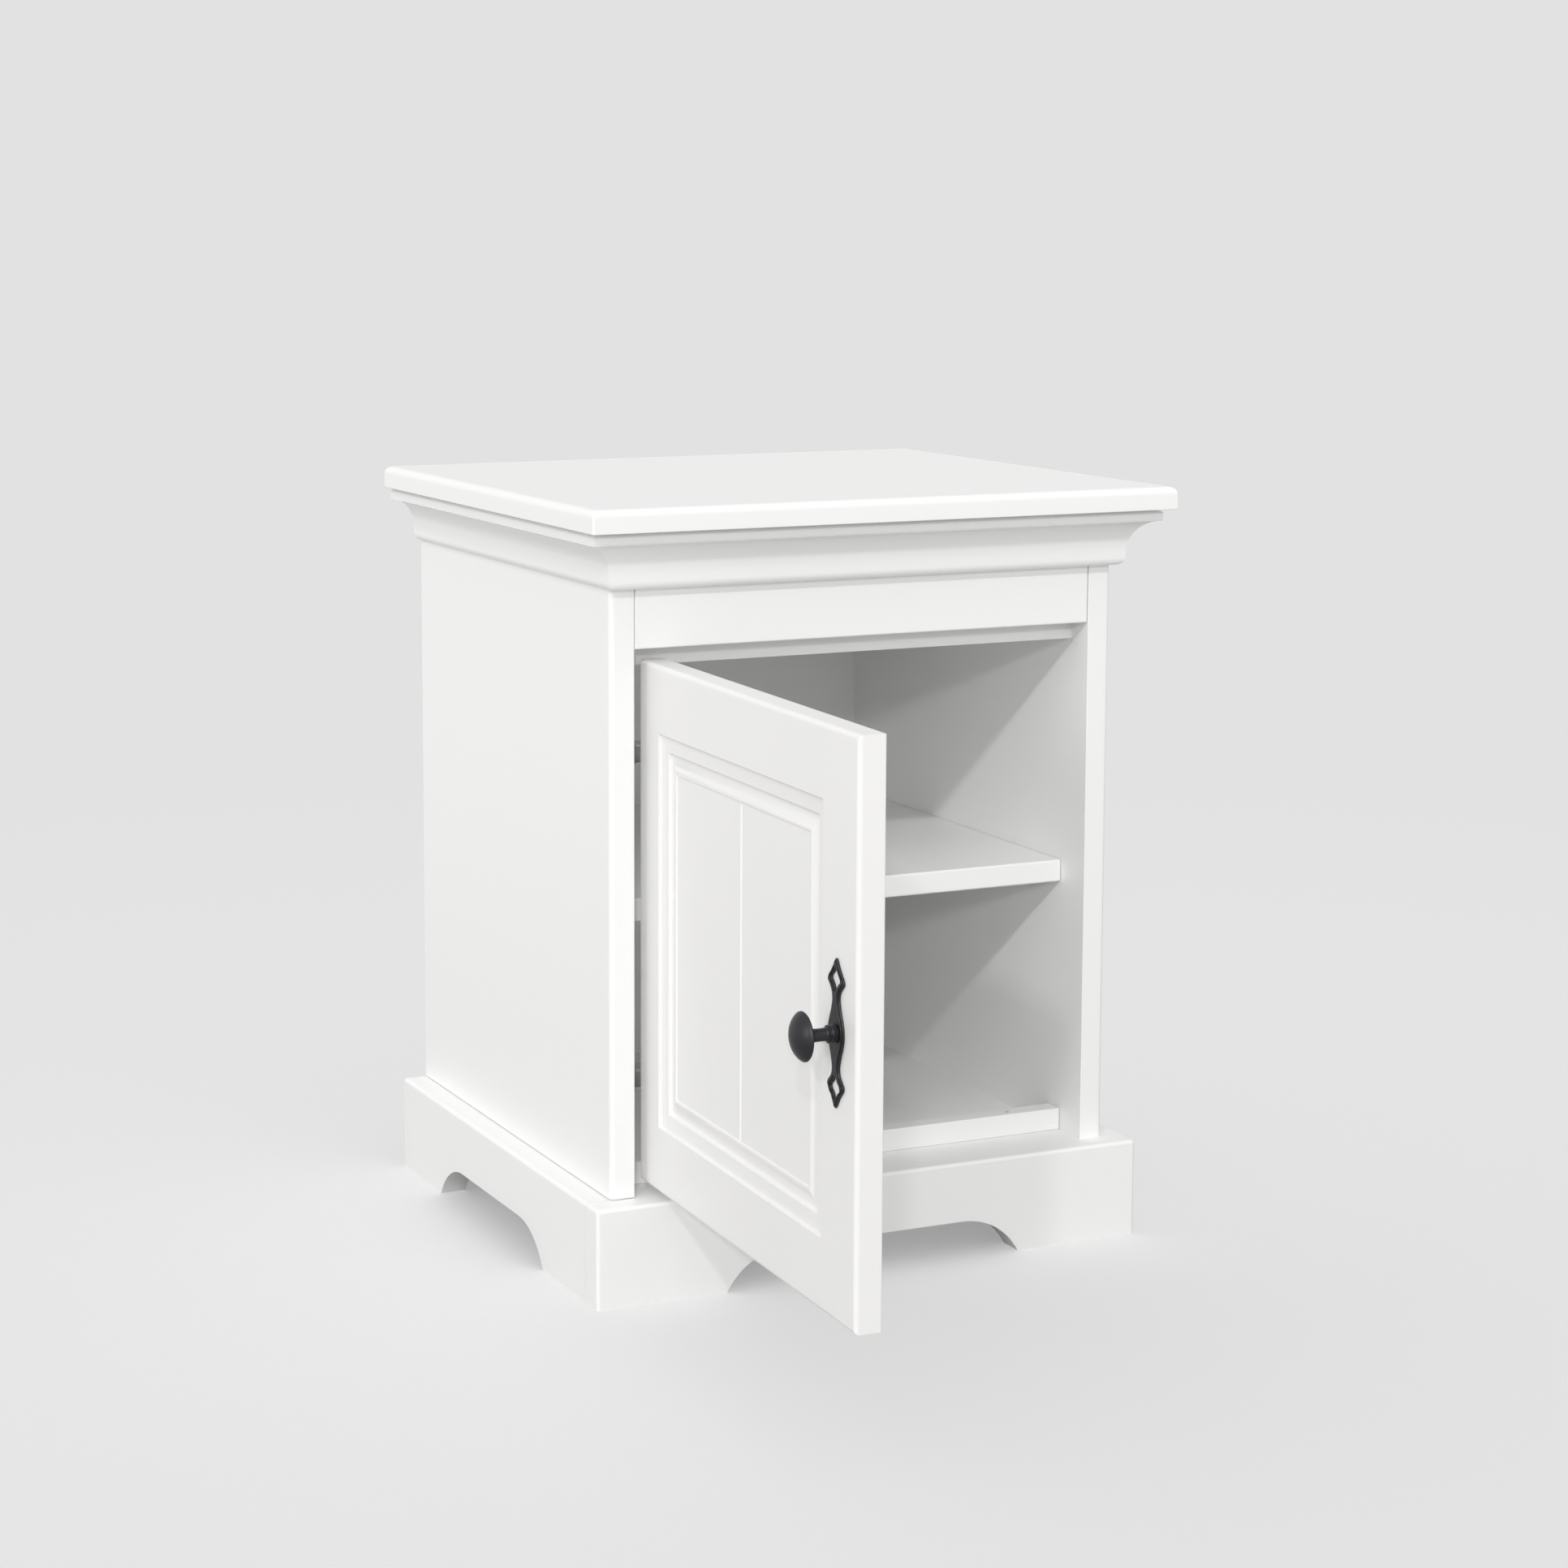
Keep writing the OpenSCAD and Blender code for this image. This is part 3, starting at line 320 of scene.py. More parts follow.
def use_group(tree, name, place, **values):
    """The outputs of a node group that is placed in a material with its own values."""
    group = bpy.data.node_groups[name]
    return add_node(tree, "ShaderNodeGroup", node_tree=group, Vector=place, **values).outputs


def lacquer_material(name, colour, gloss, cloud):
    tree, shader, place = fresh_material(name)
    film = use_group(tree, "paint_film", place, Colour=rgba(colour), Cloud=cloud, Gloss=gloss)
    feed(shader, Base_Color=film["Colour"], Roughness=film["Roughness"], Specular_IOR_Level=0.45,
         Normal=bump(tree, film["Height"], distance=0.06 * MM, strength=0.35))


def iron_material(name, colour):
    tree, shader, place = fresh_material(name)
    rubbed = (0.050, 0.047, 0.043, 1)
    skin = use_group(tree, "cast_skin", place, Black=rgba(colour), Rubbed=rubbed, Amount=0.5)
    feed(shader, Base_Color=skin["Colour"], Roughness=skin["Roughness"], Specular_IOR_Level=0.40,
         Metallic=0.2, Normal=bump(tree, skin["Height"], distance=0.13 * MM, strength=0.9))


def plated_material(name, colour, shade, rough):
    tree, shader, place = fresh_material(name)
    stretch = add_node(tree, "ShaderNodeMapping", Vector=place, Scale=(1.0, 9.0, 9.0))
    brush = noise(tree, stretch.outputs["Vector"], Scale=260.0, Detail=3.0)
    spread, streak = 0.08, 0.8
    feed(shader, Base_Color=blend(tree, brush, rgba(colour, shade), rgba(colour, streak * shade)),
         Roughness=remap(tree, brush, To_Min=rough - spread, To_Max=rough + spread), Metallic=1.0)


def beech_material(name, colour):
    tree, shader, place = fresh_material(name)
    grain = use_group(tree, "wood_grain", place, Light=rgba(colour), Dark=rgba(colour, 0.7), Scale=22.0)
    feed(shader, Base_Color=grain["Colour"], Roughness=0.6,
         Normal=bump(tree, grain["Height"], distance=0.2 * MM, strength=0.4))


# Mesh helpers

def near(a, b):
    return abs(a - b) < NEAR


def picked(geom, kind):
    """The elements of one kind in what an operator gives back."""
    return [g for g in geom if isinstance(g, kind)]


def everything(bm):
    return list(bm.verts) + list(bm.edges) + list(bm.faces)


def touching(faces):
    """Faces with their edges and corners, as an operator takes them."""
    edges = {e for f in faces for e in f.edges}
    return faces + list(edges) + list({v for f in faces for v in f.verts})


def edges_where(bm, test):
    """Edges whose both ends pass the test."""
    return [e for e in bm.edges if all(test(v.co) for v in e.verts)]


def box_mesh(low, high):
    """A bmesh holding one closed box between two corners."""
    bm = bmesh.new()
    size = Vector(high) - Vector(low)
    centre = (Vector(high) + Vector(low)) / 2
    place = Matrix.Translation(centre) @ Matrix.Diagonal((*size, 1))
    bmesh.ops.create_cube(bm, size=1.0, matrix=place)
    return bm


def soften(bm, edges, radius, steps):
    """Rounds edges."""
    if edges:
        bmesh.ops.bevel(bm, geom=edges, offset=radius, offset_type="OFFSET", segments=steps, profile=0.5,
                        affect="EDGES", material=-1, clamp_overlap=True)


def chain_arc(bm, vert, centre, axis, angle, steps):
    """Grows an arc of edges from a vertex and gives its last vertex."""
    made = bmesh.ops.spin(bm, geom=[vert], cent=centre, axis=axis, angle=angle, steps=steps,
                          use_duplicate=False)
    return picked(made["geom_last"], bmesh.types.BMVert)[0]


def chain_to(bm, vert, place):
    """Grows one straight edge from a vertex to a place."""
    end = bm.verts.new(place)
    bm.edges.new((vert, end))
    return end


def close_outline(bm, first, last):
    """Closes a chain of edges and fills it with one face."""
    bm.edges.new((last, first))
    bmesh.ops.remove_doubles(bm, verts=bm.verts, dist=WELD)
    return bmesh.ops.contextual_create(bm, geom=list(bm.edges))["faces"]


def push_out(bm, faces, by):
    """Extrudes flat faces into a closed solid."""
    made = bmesh.ops.extrude_face_region(bm, geom=faces, use_keep_orig=True)
    bmesh.ops.translate(bm, vec=by, verts=picked(made["geom"], bmesh.types.BMVert))


def move_out(bm, faces, by):
    """Moves a part of a solid's side outward on new walls."""
    made = bmesh.ops.extrude_face_region(bm, geom=faces)
    bmesh.ops.translate(bm, vec=by, verts=picked(made["geom"], bmesh.types.BMVert))
    bmesh.ops.delete(bm, geom=[f for f in faces if f.is_valid], context="FACES_ONLY")


def step_rim(bm, normal):
    """Steps the rim of one flat side back, which leaves the thin dark line where two boards meet."""
    s = sizes()
    bm.normal_update()
    faces = [f for f in bm.faces if f.normal.dot(normal) > FLAT]
    reach = max(f.calc_center_median().dot(normal) for f in faces)
    faces = [f for f in faces if near(f.calc_center_median().dot(normal), reach)]
    bmesh.ops.translate(bm, vec=-s.seam_gap * normal, verts=list({v for f in faces for v in f.verts}))
    bmesh.ops.inset_region(bm, faces=faces, thickness=s.seam_depth, use_boundary=True, use_even_offset=True)
    move_out(bm, faces, s.seam_gap * normal)


def cut_line(bm, geom, point, normal):
    """Draws an edge over faces where a plane meets them."""
    return bmesh.ops.bisect_plane(bm, geom=geom, plane_co=point, plane_no=normal)["geom"]


def cut_away(bm, point, normal):
    """Cuts off what lies on the normal's side of a plane, and closes the cut."""
    cut = bmesh.ops.bisect_plane(bm, geom=everything(bm), plane_co=point, plane_no=normal.normalized(),
                                 clear_outer=True)
    bmesh.ops.contextual_create(bm, geom=picked(cut["geom_cut"], bmesh.types.BMEdge))


def bore(bm, patch, place, radius, depth, segments):
    """Bores a blind round hole in a flat patch of faces; place turns +Z to the hole's way out."""
    outline = [e for e in bm.edges if sum(f in patch for f in e.link_faces) == 1]
    bmesh.ops.delete(bm, geom=patch, context="FACES_ONLY")
    made = bmesh.ops.create_circle(bm, cap_ends=False, segments=segments, radius=radius, matrix=place)
    ring = set(made["verts"])
    rim = [e for e in bm.edges if e.verts[0] in ring and e.verts[1] in ring]
    bmesh.ops.triangle_fill(bm, edges=rim + outline, use_beauty=True, use_dissolve=False)
    wall = bmesh.ops.extrude_edge_only(bm, edges=rim)["geom"]
    bmesh.ops.translate(bm, vec=place.to_3x3() @ (-depth * UP), verts=picked(wall, bmesh.types.BMVert))
    floor_rim = [e for e in picked(wall, bmesh.types.BMEdge) if e.is_boundary]
    bmesh.ops.contextual_create(bm, geom=floor_rim)


def turn_section(bm, section, centre, axis, segments):
    """Turns a half section, given as radius and distance along the axis, into a solid."""
    places = [centre + Vector((radius, 0, 0)) + axis * along for radius, along in section]
    chain = [bm.verts.new(places[0])]
    for place in places[1:]:
        chain.append(chain_to(bm, chain[-1], place))
    edges = list({e for v in chain for e in v.link_edges})
    bmesh.ops.spin(bm, geom=chain + edges, cent=centre, axis=axis, angle=2 * math.pi, steps=segments,
                   use_merge=True, use_duplicate=False)


def swing_open(bm):
    """Turns a mesh made on the closed door to where the door stands in the photograph."""
    bmesh.ops.rotate(bm, cent=HINGE_AXIS, matrix=Matrix.Rotation(-REST_ANGLE, 3, "Z"), verts=bm.verts)


def finish_piece(node, bm, material="white_lacquer", body="carcass", smooth_deg=32):
    """Turns a bmesh into the piece that rides on a body and stands for a CAD node."""
    bmesh.ops.remove_doubles(bm, verts=bm.verts, dist=WELD)
    bmesh.ops.recalc_face_normals(bm, faces=bm.faces)
    open_edges = sum(not e.is_manifold for e in bm.edges)
    if open_edges or not bm.faces:
        raise RuntimeError(f"{node} is not a closed solid: {open_edges} open edges")
    mesh = bpy.data.meshes.new(node + "_shown")
    bm.to_mesh(mesh)
    bm.free()
    mesh.polygons.foreach_set("use_smooth", [True] * len(mesh.polygons))
    mesh.set_sharp_from_angle(angle=math.radians(smooth_deg))
    mesh.materials.append(bpy.data.materials[material])
    piece = bpy.data.objects.new(node + "_shown", mesh)
    bpy.context.scene.collection.objects.link(piece)
    weighted = piece.modifiers.new("even_shading", "WEIGHTED_NORMAL")
    weighted.keep_sharp = True
    weighted.weight = 80
    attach(piece, body)
    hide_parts(node)


# Operators, one for each group of pieces and one for the stage

class NIGHTSTAND_OT_finishes(bpy.types.Operator):
    """Make the finishes and give them to the CAD nodes that stay"""
    bl_idname = "nightstand.finishes"
    bl_label = "Finishes"

    def execute(self, context):
        paint_film_group()
        wood_grain_group()
        cast_skin_group()
        c = colours()
        lacquer_material("white_lacquer", c.lacquer, gloss=0.30, cloud=0.05)
        lacquer_material("white_lacquer_door", c.lacquer, gloss=0.27, cloud=0.05)
        lacquer_material("white_board", c.board, gloss=0.48, cloud=0.10)
        iron_material("black_iron", c.iron)
        plated_material("plated_steel", c.zinc, shade=1.0, rough=0.40)
        plated_material("screw_steel", c.zinc, shade=0.9, rough=0.36)
        # near-black zinc for the batten's screw heads: painted shade that stands in for the shade inside
        # their holes
        plated_material("painted_shade_screw_steel", c.zinc, shade=0.04, rough=0.5)
        beech_material("bare_beech", c.beech)
        stays = {
            "white_lacquer": ("ceiling_board", "plinth_back_rail", "rear_stretcher"),
            "white_board": ("back_panel",),
            "bare_beech": ("plinth_blocks", "floor_dowels", "top_dowels", "ceiling_dowels"),
            "plated_steel": ("hinge_plates", "hinge_arms", "hinge_cups", "inner_links", "outer_links",
                             "shelf_pins"),
            "screw_steel": ("back_screws", "hinge_plate_screws", "hinge_pins", "hinge_cup_screws",
                            "knob_screw"),
        }
        for material, nodes in stays.items():
            for node in nodes:
                mesh = frame["nodes"][node].data
                mesh.materials.clear()
                mesh.materials.append(bpy.data.materials[material])
        return {"FINISHED"}


class NIGHTSTAND_OT_top_board(bpy.types.Operator):
    """Make the top board with its rounded upper edges"""
    bl_idname = "nightstand.top_board"
    bl_label = "Top board"

    def execute(self, context):
        s = sizes()
        low, high = TOP
        bm = box_mesh(low, high)
        soften(bm, edges_where(bm, lambda p: near(p.z, high[2])), s.top_edge, steps=10)
        # uprights, and the short edges where the rounded edges meet
        short = 3 * MM
        mitres = [e for e in edges_where(bm, self.on_corner)
                  if (e.verts[0].co.xy - e.verts[1].co.xy).length < short]
        soften(bm, mitres, s.top_corner, steps=4)
        soften(bm, edges_where(bm, lambda p: near(p.z, low[2])), FAINT_EDGE, steps=3)
        finish_piece("top_board", bm)
        return {"FINISHED"}

    def on_corner(self, place):
        """True for a point on a corner's upright or on the mitre above it."""
        low, high = TOP
        mid = (Vector(low) + Vector(high)) / 2
        from_side = high[0] - mid.x - abs(place.x - mid.x)
        from_end = high[1] - mid.y - abs(place.y - mid.y)
        slack = 0.5 * MM
        return near(from_side, from_end) and from_side < sizes().top_edge + slack


def cornice_profile(bm, side, outward, up_from, reach):
    """Draws the moulding's section from the carcass outward, and fills it.

    side is the point on the carcass, outward the unit vector away from it."""
    s = sizes()
    run, lip_r = s.cove_run, s.lip_radius
    lip_h, fillet, quirk = 4 * MM, 7.5 * MM, 2.2 * MM
    quirk_in, quirk_slope, ease, hair = 3.5 * MM, 0.4 * MM, 1.2 * MM, 0.3 * MM
    across = outward.cross(UP)
    lip = reach - run
    height = UNDER_TOP - up_from
    cove_low = lip_r + lip_h
    cove_high = height - quirk - fillet

    def at(q, z):
        return side + outward * q + UP * (up_from + z)
    first = last = bm.verts.new(at(0, 0))
    if lip - lip_r > NEAR:
        last = chain_to(bm, first, at(lip - lip_r, 0))
    last = chain_arc(bm, last, at(lip - lip_r, lip_r), across, math.pi / 2, steps=7)
    last = chain_to(bm, last, at(lip, cove_low))
    before = set(bm.verts)
    last = chain_arc(bm, last, at(reach, cove_low), across, -math.pi / 2, steps=18)
    curve = [v for v in bm.verts if v not in before]
    bmesh.ops.scale(bm, vec=(1, 1, (cove_high - cove_low) / run), verts=curve,
                    space=Matrix.Translation(-at(reach, cove_low)))
    # the fillet over the cove, and the quirk under the top board
    fillet_top = cove_high + fillet
    for q, z in ((reach - 2 * hair, cove_high + hair), (reach, cove_high + ease),
                 (reach, fillet_top - ease), (reach - ease, fillet_top),
                 (reach - quirk_in, fillet_top + quirk_slope), (reach - quirk_in, height), (0, height)):
        last = chain_to(bm, last, at(q, z))
    return close_outline(bm, first, last)


class NIGHTSTAND_OT_cornice(bpy.types.Operator):
    """Make the three lengths of cove moulding, mitred at the front corners"""
    bl_idname = "nightstand.cornice"
    bl_label = "Cornice"

    def execute(self, context):
        low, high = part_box("cornice_front")
        reach = high[0] - HALF_WIDTH
        proud = FRONT_Y - low[1] - reach
        corner = Vector((high[0], low[1], 0))
        # front: the moulding stands on a flat backing as deep as it is prouder than the sides
        back_y = FRONT_Y - proud
        bm = bmesh.new()
        faces = cornice_profile(bm, Vector((low[0], back_y, 0)), Vector((0, -1, 0)), low[2], reach)
        push_out(bm, faces, Vector((high[0] - low[0], 0, 0)))
        cut_away(bm, corner, Vector((1, 1, 0)))
        cut_away(bm, Vector((-corner.x, corner.y, 0)), Vector((-1, 1, 0)))
        rear = [f for f in bm.faces if all(near(v.co.y, back_y) for v in f.verts)]
        move_out(bm, rear, Vector((0, proud, 0)))
        finish_piece("cornice_front", bm, smooth_deg=28)
        for sign, node in ((-1, "cornice_left"), (1, "cornice_right")):
            bm = bmesh.new()
            faces = cornice_profile(bm, Vector((HALF_WIDTH, low[1], 0)), Vector((1, 0, 0)), low[2], reach)
            push_out(bm, faces, Vector((0, BACK_Y - low[1], 0)))
            cut_away(bm, corner, Vector((-1, -1, 0)))
            bmesh.ops.scale(bm, vec=(sign, 1, 1), verts=bm.verts)
            finish_piece(node, bm, smooth_deg=28)
        return {"FINISHED"}


class NIGHTSTAND_OT_carcass_boards(bpy.types.Operator):
    """Make the side panels, front rail, shelf, floor board and lower stop with its screws"""
    bl_idname = "nightstand.carcass_boards"
    bl_label = "Carcass boards"

    def execute(self, context):
        s = sizes()
        self.side_panel("side_panel_left", -1, s)
        self.side_panel("side_panel_right", 1, s)
        self.front_rail(s)
        self.shelf(s)
        self.floor_board()
        self.lower_stop(s)
        self.lower_stop_screws()
        return {"FINISHED"}

    def side_panel(self, node, sign, s):
        """One side panel, with the rebate that holds the back panel."""
        low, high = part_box(node)
        rear_low, rear_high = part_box("back_panel")
        play = 0.5 * MM
        rebate_x, rebate_y = rear_high[0] + play, rear_low[1]
        bm = bmesh.new()
        first = last = bm.verts.new((sign * HALF_WIDTH, FRONT_Y, low[2]))
        for x, y in ((HALF_WIDTH, BACK_Y), (rebate_x, BACK_Y), (rebate_x, rebate_y),
                     (HALF_INNER, rebate_y), (HALF_INNER, FRONT_Y)):
            last = chain_to(bm, last, (sign * x, y, low[2]))
        push_out(bm, close_outline(bm, first, last), Vector((0, 0, high[2] - low[2])))
        for half, radius, steps in ((HALF_WIDTH, s.side_edge, 7), (HALF_INNER, FAINT_EDGE, 3)):
            upright = edges_where(bm, lambda p: near(p.y, FRONT_Y) and near(abs(p.x), half))
            soften(bm, upright, radius, steps)
        step_rim(bm, -UP)
        finish_piece(node, bm)

    def front_rail(self, s):
        low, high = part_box("front_rail")
        bm = box_mesh(low, high)
        front = edges_where(bm, lambda p: near(p.y, low[1]))
        shown = [e for e in front if not all(near(v.co.z, high[2]) for v in e.verts)]
        soften(bm, shown, s.rail_edge, steps=4)
        finish_piece("front_rail", bm)

    def shelf(self, s):
        low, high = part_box("shelf")
        bm = box_mesh(low, high)
        front = edges_where(bm, lambda p: near(p.y, low[1]))
        level = [e for e in front if near(e.verts[0].co.z, e.verts[1].co.z)]
        soften(bm, level, s.shelf_edge, steps=5)
        finish_piece("shelf", bm)

    def floor_board(self):
        bm = box_mesh(*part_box("floor_board"))
        for way in ((-1, 0, 0), (1, 0, 0), (0, 1, 0)):
            step_rim(bm, Vector(way))
        finish_piece("floor_board", bm)

    def stop_holes(self):
        """The middles of the batten's two screw holes, as x and y."""
        low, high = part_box("lower_stop")
        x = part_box("lower_stop_screws")[1][0] - STOP_HOLE_R
        y = (low[1] + high[1]) / 2
        return (-x, y), (x, y)

    def lower_stop(self, s):
        """The batten, with its two screw holes in the top face."""
        low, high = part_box("lower_stop")
        bm = box_mesh(low, high)
        for sign in (-1, 1):
            step_rim(bm, Vector((sign, 0, 0)))
        soften(bm, [e for e in bm.edges if e.calc_length() > high[0]], s.stop_edge, steps=4)
        step_rim(bm, -UP)
        for x, y in self.stop_holes():
            for beside in (-2 * STOP_HOLE_R, 2 * STOP_HOLE_R):
                cut_line(bm, everything(bm), (x + beside, 0, 0), (1, 0, 0))
            patch = [f for f in bm.faces if f.normal.z > FLAT
                     and abs(f.calc_center_median().x - x) < STOP_HOLE_R]
            bore(bm, patch, Matrix.Translation((x, y, high[2])), STOP_HOLE_R, STOP_HOLE_DEPTH,
                 segments=24)
        finish_piece("lower_stop", bm)

    def lower_stop_screws(self):
        """The batten's screws, whose heads fill their holes almost to the top; their near-black colour is
        painted shade, standing in for the shade inside the holes.
        """
        foot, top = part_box("lower_stop_screws")[0][2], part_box("lower_stop")[1][2]
        shank_r, head_r = 1.6 * MM, STOP_HOLE_R - 0.05 * MM
        head_low, head_high = top - STOP_HOLE_DEPTH, top - 0.8 * MM
        section = ((0, foot), (shank_r, foot), (shank_r, head_low), (head_r, head_low),
                   (head_r, head_high), (0, head_high))
        bm = bmesh.new()
        for x, y in self.stop_holes():
            turn_section(bm, section, Vector((x, y, 0)), UP, segments=24)
        # the heads take the near-black zinc, painted shade for the holes
        finish_piece("lower_stop_screws", bm, "painted_shade_screw_steel")


def arched_board(start, along, foot_a, foot_b, length, height):
    """The outline of a plinth board with its arch, filled with one face."""
    s = sizes()
    r, h = s.arch_radius, s.arch_height
    reach = math.sqrt(r * r - (r - h) * (r - h))
    sweep = math.asin(reach / r)
    across = along.cross(UP)
    bm = bmesh.new()

    def at(a, z):
        return start + along * a + UP * z
    first = bm.verts.new(at(0, 0))
    last = chain_to(bm, first, at(foot_a, 0))
    last = chain_arc(bm, last, at(foot_a + reach, h - r), across, -sweep, steps=14)
    last = chain_to(bm, last, at(length - foot_b - reach, h))
    last = chain_arc(bm, last, at(length - foot_b - reach, h - r), across, -sweep, steps=14)
    for a, z in ((length, 0), (length, height), (0, height)):
        last = chain_to(bm, last, at(a, z))
    return bm, close_outline(bm, first, last)


class NIGHTSTAND_OT_plinth(bpy.types.Operator):
    """Make the three arched plinth boards"""
    bl_idname = "nightstand.plinth"
    bl_label = "Plinth"

    def execute(self, context):
        low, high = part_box("plinth_front")
        thick = high[1] - low[1]
        self.front_board(low, high, thick)
        self.side_board("plinth_left", thick)
        self.side_board("plinth_right", thick)
        return {"FINISHED"}

    def front_board(self, low, high, thick):
        bm, faces = arched_board(Vector(low), Vector((1, 0, 0)), FRONT_FOOT, FRONT_FOOT, high[0] - low[0],
                                 high[2])
        push_out(bm, faces, Vector((0, thick, 0)))
        bmesh.ops.recalc_face_normals(bm, faces=bm.faces)

        def on_rim(edge):
            """True where two of the board's top, front and ends meet."""
            a, b = (v.co for v in edge.verts)
            top = near(a.z, high[2]) and near(b.z, high[2])
            front = near(a.y, low[1]) and near(b.y, low[1])
            end = near(a.x, b.x) and near(abs(a.x), high[0])
            return top + front + end >= 2
        soften(bm, [e for e in bm.edges if on_rim(e)], sizes().plinth_edge, steps=6)
        finish_piece("plinth_front", bm)

    def side_board(self, node, front_thick):
        """A side board, which ends behind the front board."""
        low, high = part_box(node)
        outer = low[0] if node == "plinth_left" else high[0]
        bm, faces = arched_board(Vector(low), Vector((0, 1, 0)), FRONT_FOOT - front_thick, REAR_FOOT,
                                 high[1] - low[1], high[2])
        push_out(bm, faces, Vector((high[0] - low[0], 0, 0)))
        bmesh.ops.recalc_face_normals(bm, faces=bm.faces)
        upper = edges_where(bm, lambda p: near(p.z, high[2]) and near(p.x, outer))
        soften(bm, upper, sizes().plinth_edge, steps=6)
        step_rim(bm, Vector((0, -1, 0)))
        finish_piece(node, bm)


def milled_steps(s):
    """Steps of the milled moulding inward from the frame, each a width and a fall in metres."""
    shoulder, fall, flat, rise, bead = 12.5 * MM, 0.6 * MM, 2.0 * MM, 10.5 * MM, 2.0 * MM
    ease = 0.25 * MM

    def drop(by):
        return [(ease, 0.3 * ease), (0.6 * ease, 0.9 * ease), (0.4 * ease, by - 2.4 * ease),
                (0.6 * ease, 0.9 * ease), (ease, 0.3 * ease)]
    steps = drop(s.step_depth) + [(shoulder - 3.6 * ease, fall)]
    steps += drop(s.groove_depth - s.step_depth - fall) + [(flat - 1.8 * ease, 0.0)]
    count, lift = 9, s.groove_depth - s.bead_depth
    turns = [math.cos(math.pi / 2 * i / count) for i in range(count + 1)]
    steps += [(rise / count, -lift * (turns[i] - turns[i + 1])) for i in range(count)]
    steps += [(ease, -0.1 * ease), (bead - 2.8 * ease, 0.1 * ease)] + drop(s.field_depth - s.bead_depth)
    return steps


class NIGHTSTAND_OT_door_panel(bpy.types.Operator):
    """Make the door with its milled field and V-groove"""
    bl_idname = "nightstand.door_panel"
    bl_label = "Door panel"

    def execute(self, context):
        s = sizes()
        foot, head = (corner[2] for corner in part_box("door_panel"))
        back = FRONT_Y + s.door_thickness
        bm = box_mesh((DOOR_LEFT, FRONT_Y, foot), (DOOR_RIGHT, back, head))
        self.mill_face(bm, s, foot, head)
        outline = ((0, DOOR_LEFT), (0, DOOR_RIGHT), (2, foot), (2, head))
        rim = [e for e in edges_where(bm, lambda p: near(p.y, FRONT_Y))
               if any(all(near(v.co[axis], place) for v in e.verts) for axis, place in outline)]
        soften(bm, rim, s.door_edge, steps=7)
        soften(bm, edges_where(bm, lambda p: near(p.y, back)), FAINT_EDGE, steps=3)
        self.cup_bores(bm, back)
        swing_open(bm)
        finish_piece("door_panel", bm, "white_lacquer_door", "door", smooth_deg=24)
        return {"FINISHED"}

    def mill_face(self, bm, s, foot, head):
        """Mills the moulding, the field and its V-groove into the front."""
        left, right = DOOR_LEFT + FRAME_HINGE, DOOR_RIGHT - FRAME_FREE
        bottom, top = foot + FRAME_END, head - FRAME_END
        for point, normal in (((left, 0, 0), (1, 0, 0)), ((right, 0, 0), (1, 0, 0)),
                              ((0, 0, bottom), (0, 0, 1)), ((0, 0, top), (0, 0, 1))):
            cut_line(bm, touching([f for f in bm.faces if f.normal.y < -FLAT]), point, normal)
        field = [f for f in bm.faces if f.normal.y < -FLAT
                 and left < f.calc_center_median().x < right and bottom < f.calc_center_median().z < top]
        for wide, deep in milled_steps(s):
            bmesh.ops.inset_region(bm, faces=field, thickness=wide, depth=-deep, use_even_offset=True,
                                   use_boundary=True)
        # the V-groove is as deep as half its width
        middle = (left + right) / 2
        half = 1.5 * MM
        for x in (middle - half, middle, middle + half):
            field = picked(cut_line(bm, touching(field), (x, 0, 0), (1, 0, 0)), bmesh.types.BMFace)
        groove = {v for f in field for v in f.verts if near(v.co.x, middle)}
        bmesh.ops.translate(bm, vec=(0, half, 0), verts=list(groove))

    def cup_bores(self, bm, back):
        """Opens the door's back for the two hinge cups."""
        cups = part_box("hinge_cups")
        flange_half, cup_r, depth, cup_in = 28.5 * MM, 17.5 * MM, 14 * MM, 20.5 * MM
        patch_half = 30 * MM
        x = DOOR_LEFT + cup_in
        for z in (cups[0][2] + flange_half, cups[1][2] - flange_half):
            for point, normal in (((0, 0, z - patch_half), (0, 0, 1)), ((0, 0, z + patch_half), (0, 0, 1)),
                                  ((x + patch_half, 0, 0), (1, 0, 0))):
                rear = [f for f in bm.faces if f.normal.y > FLAT and near(f.calc_center_median().y, back)]
                cut_line(bm, touching(rear), point, normal)
            patch = [f for f in bm.faces if f.normal.y > FLAT and f.calc_center_median().x < x + patch_half
                     and abs(f.calc_center_median().z - z) < patch_half]
            place = Matrix.Translation((x, back, z)) @ Matrix.Rotation(-math.pi / 2, 4, "X")
            bore(bm, patch, place, cup_r, depth, segments=48)


def knob_frame():
    """Centre of the handle on the closed door's face."""
    return Vector((DOOR_RIGHT - KNOB_IN, FRONT_Y, (PLATE[0][2] + PLATE[1][2]) / 2))


# Right-hand upper quarter of the backplate, from the tip to the middle of the leaf, in millimetres
PLATE_QUARTER = ((0, 51.0), (1.9, 49.4), (4.9, 45.2), (8.4, 41.0), (12.0, 37.0), (12.3, 34.6), (9.4, 31.6),
                 (6.5, 28.4), (5.2, 24.2), (6.4, 17.8), (9.7, 9.8), (11.7, 3.6), (12.0, 0))
# Right-hand half of one pierced opening, from its upper to its lower point
PIERCE_HALF = ((0, 43.7), (3.2, 40.6), (6.7, 37.2), (3.4, 33.4), (0, 30.3))


def both_halves(half):
    """An outline from its right-hand half, whose first and last points lie on the middle line."""
    return list(half) + [(-x, z) for x, z in reversed(half[1:-1])]


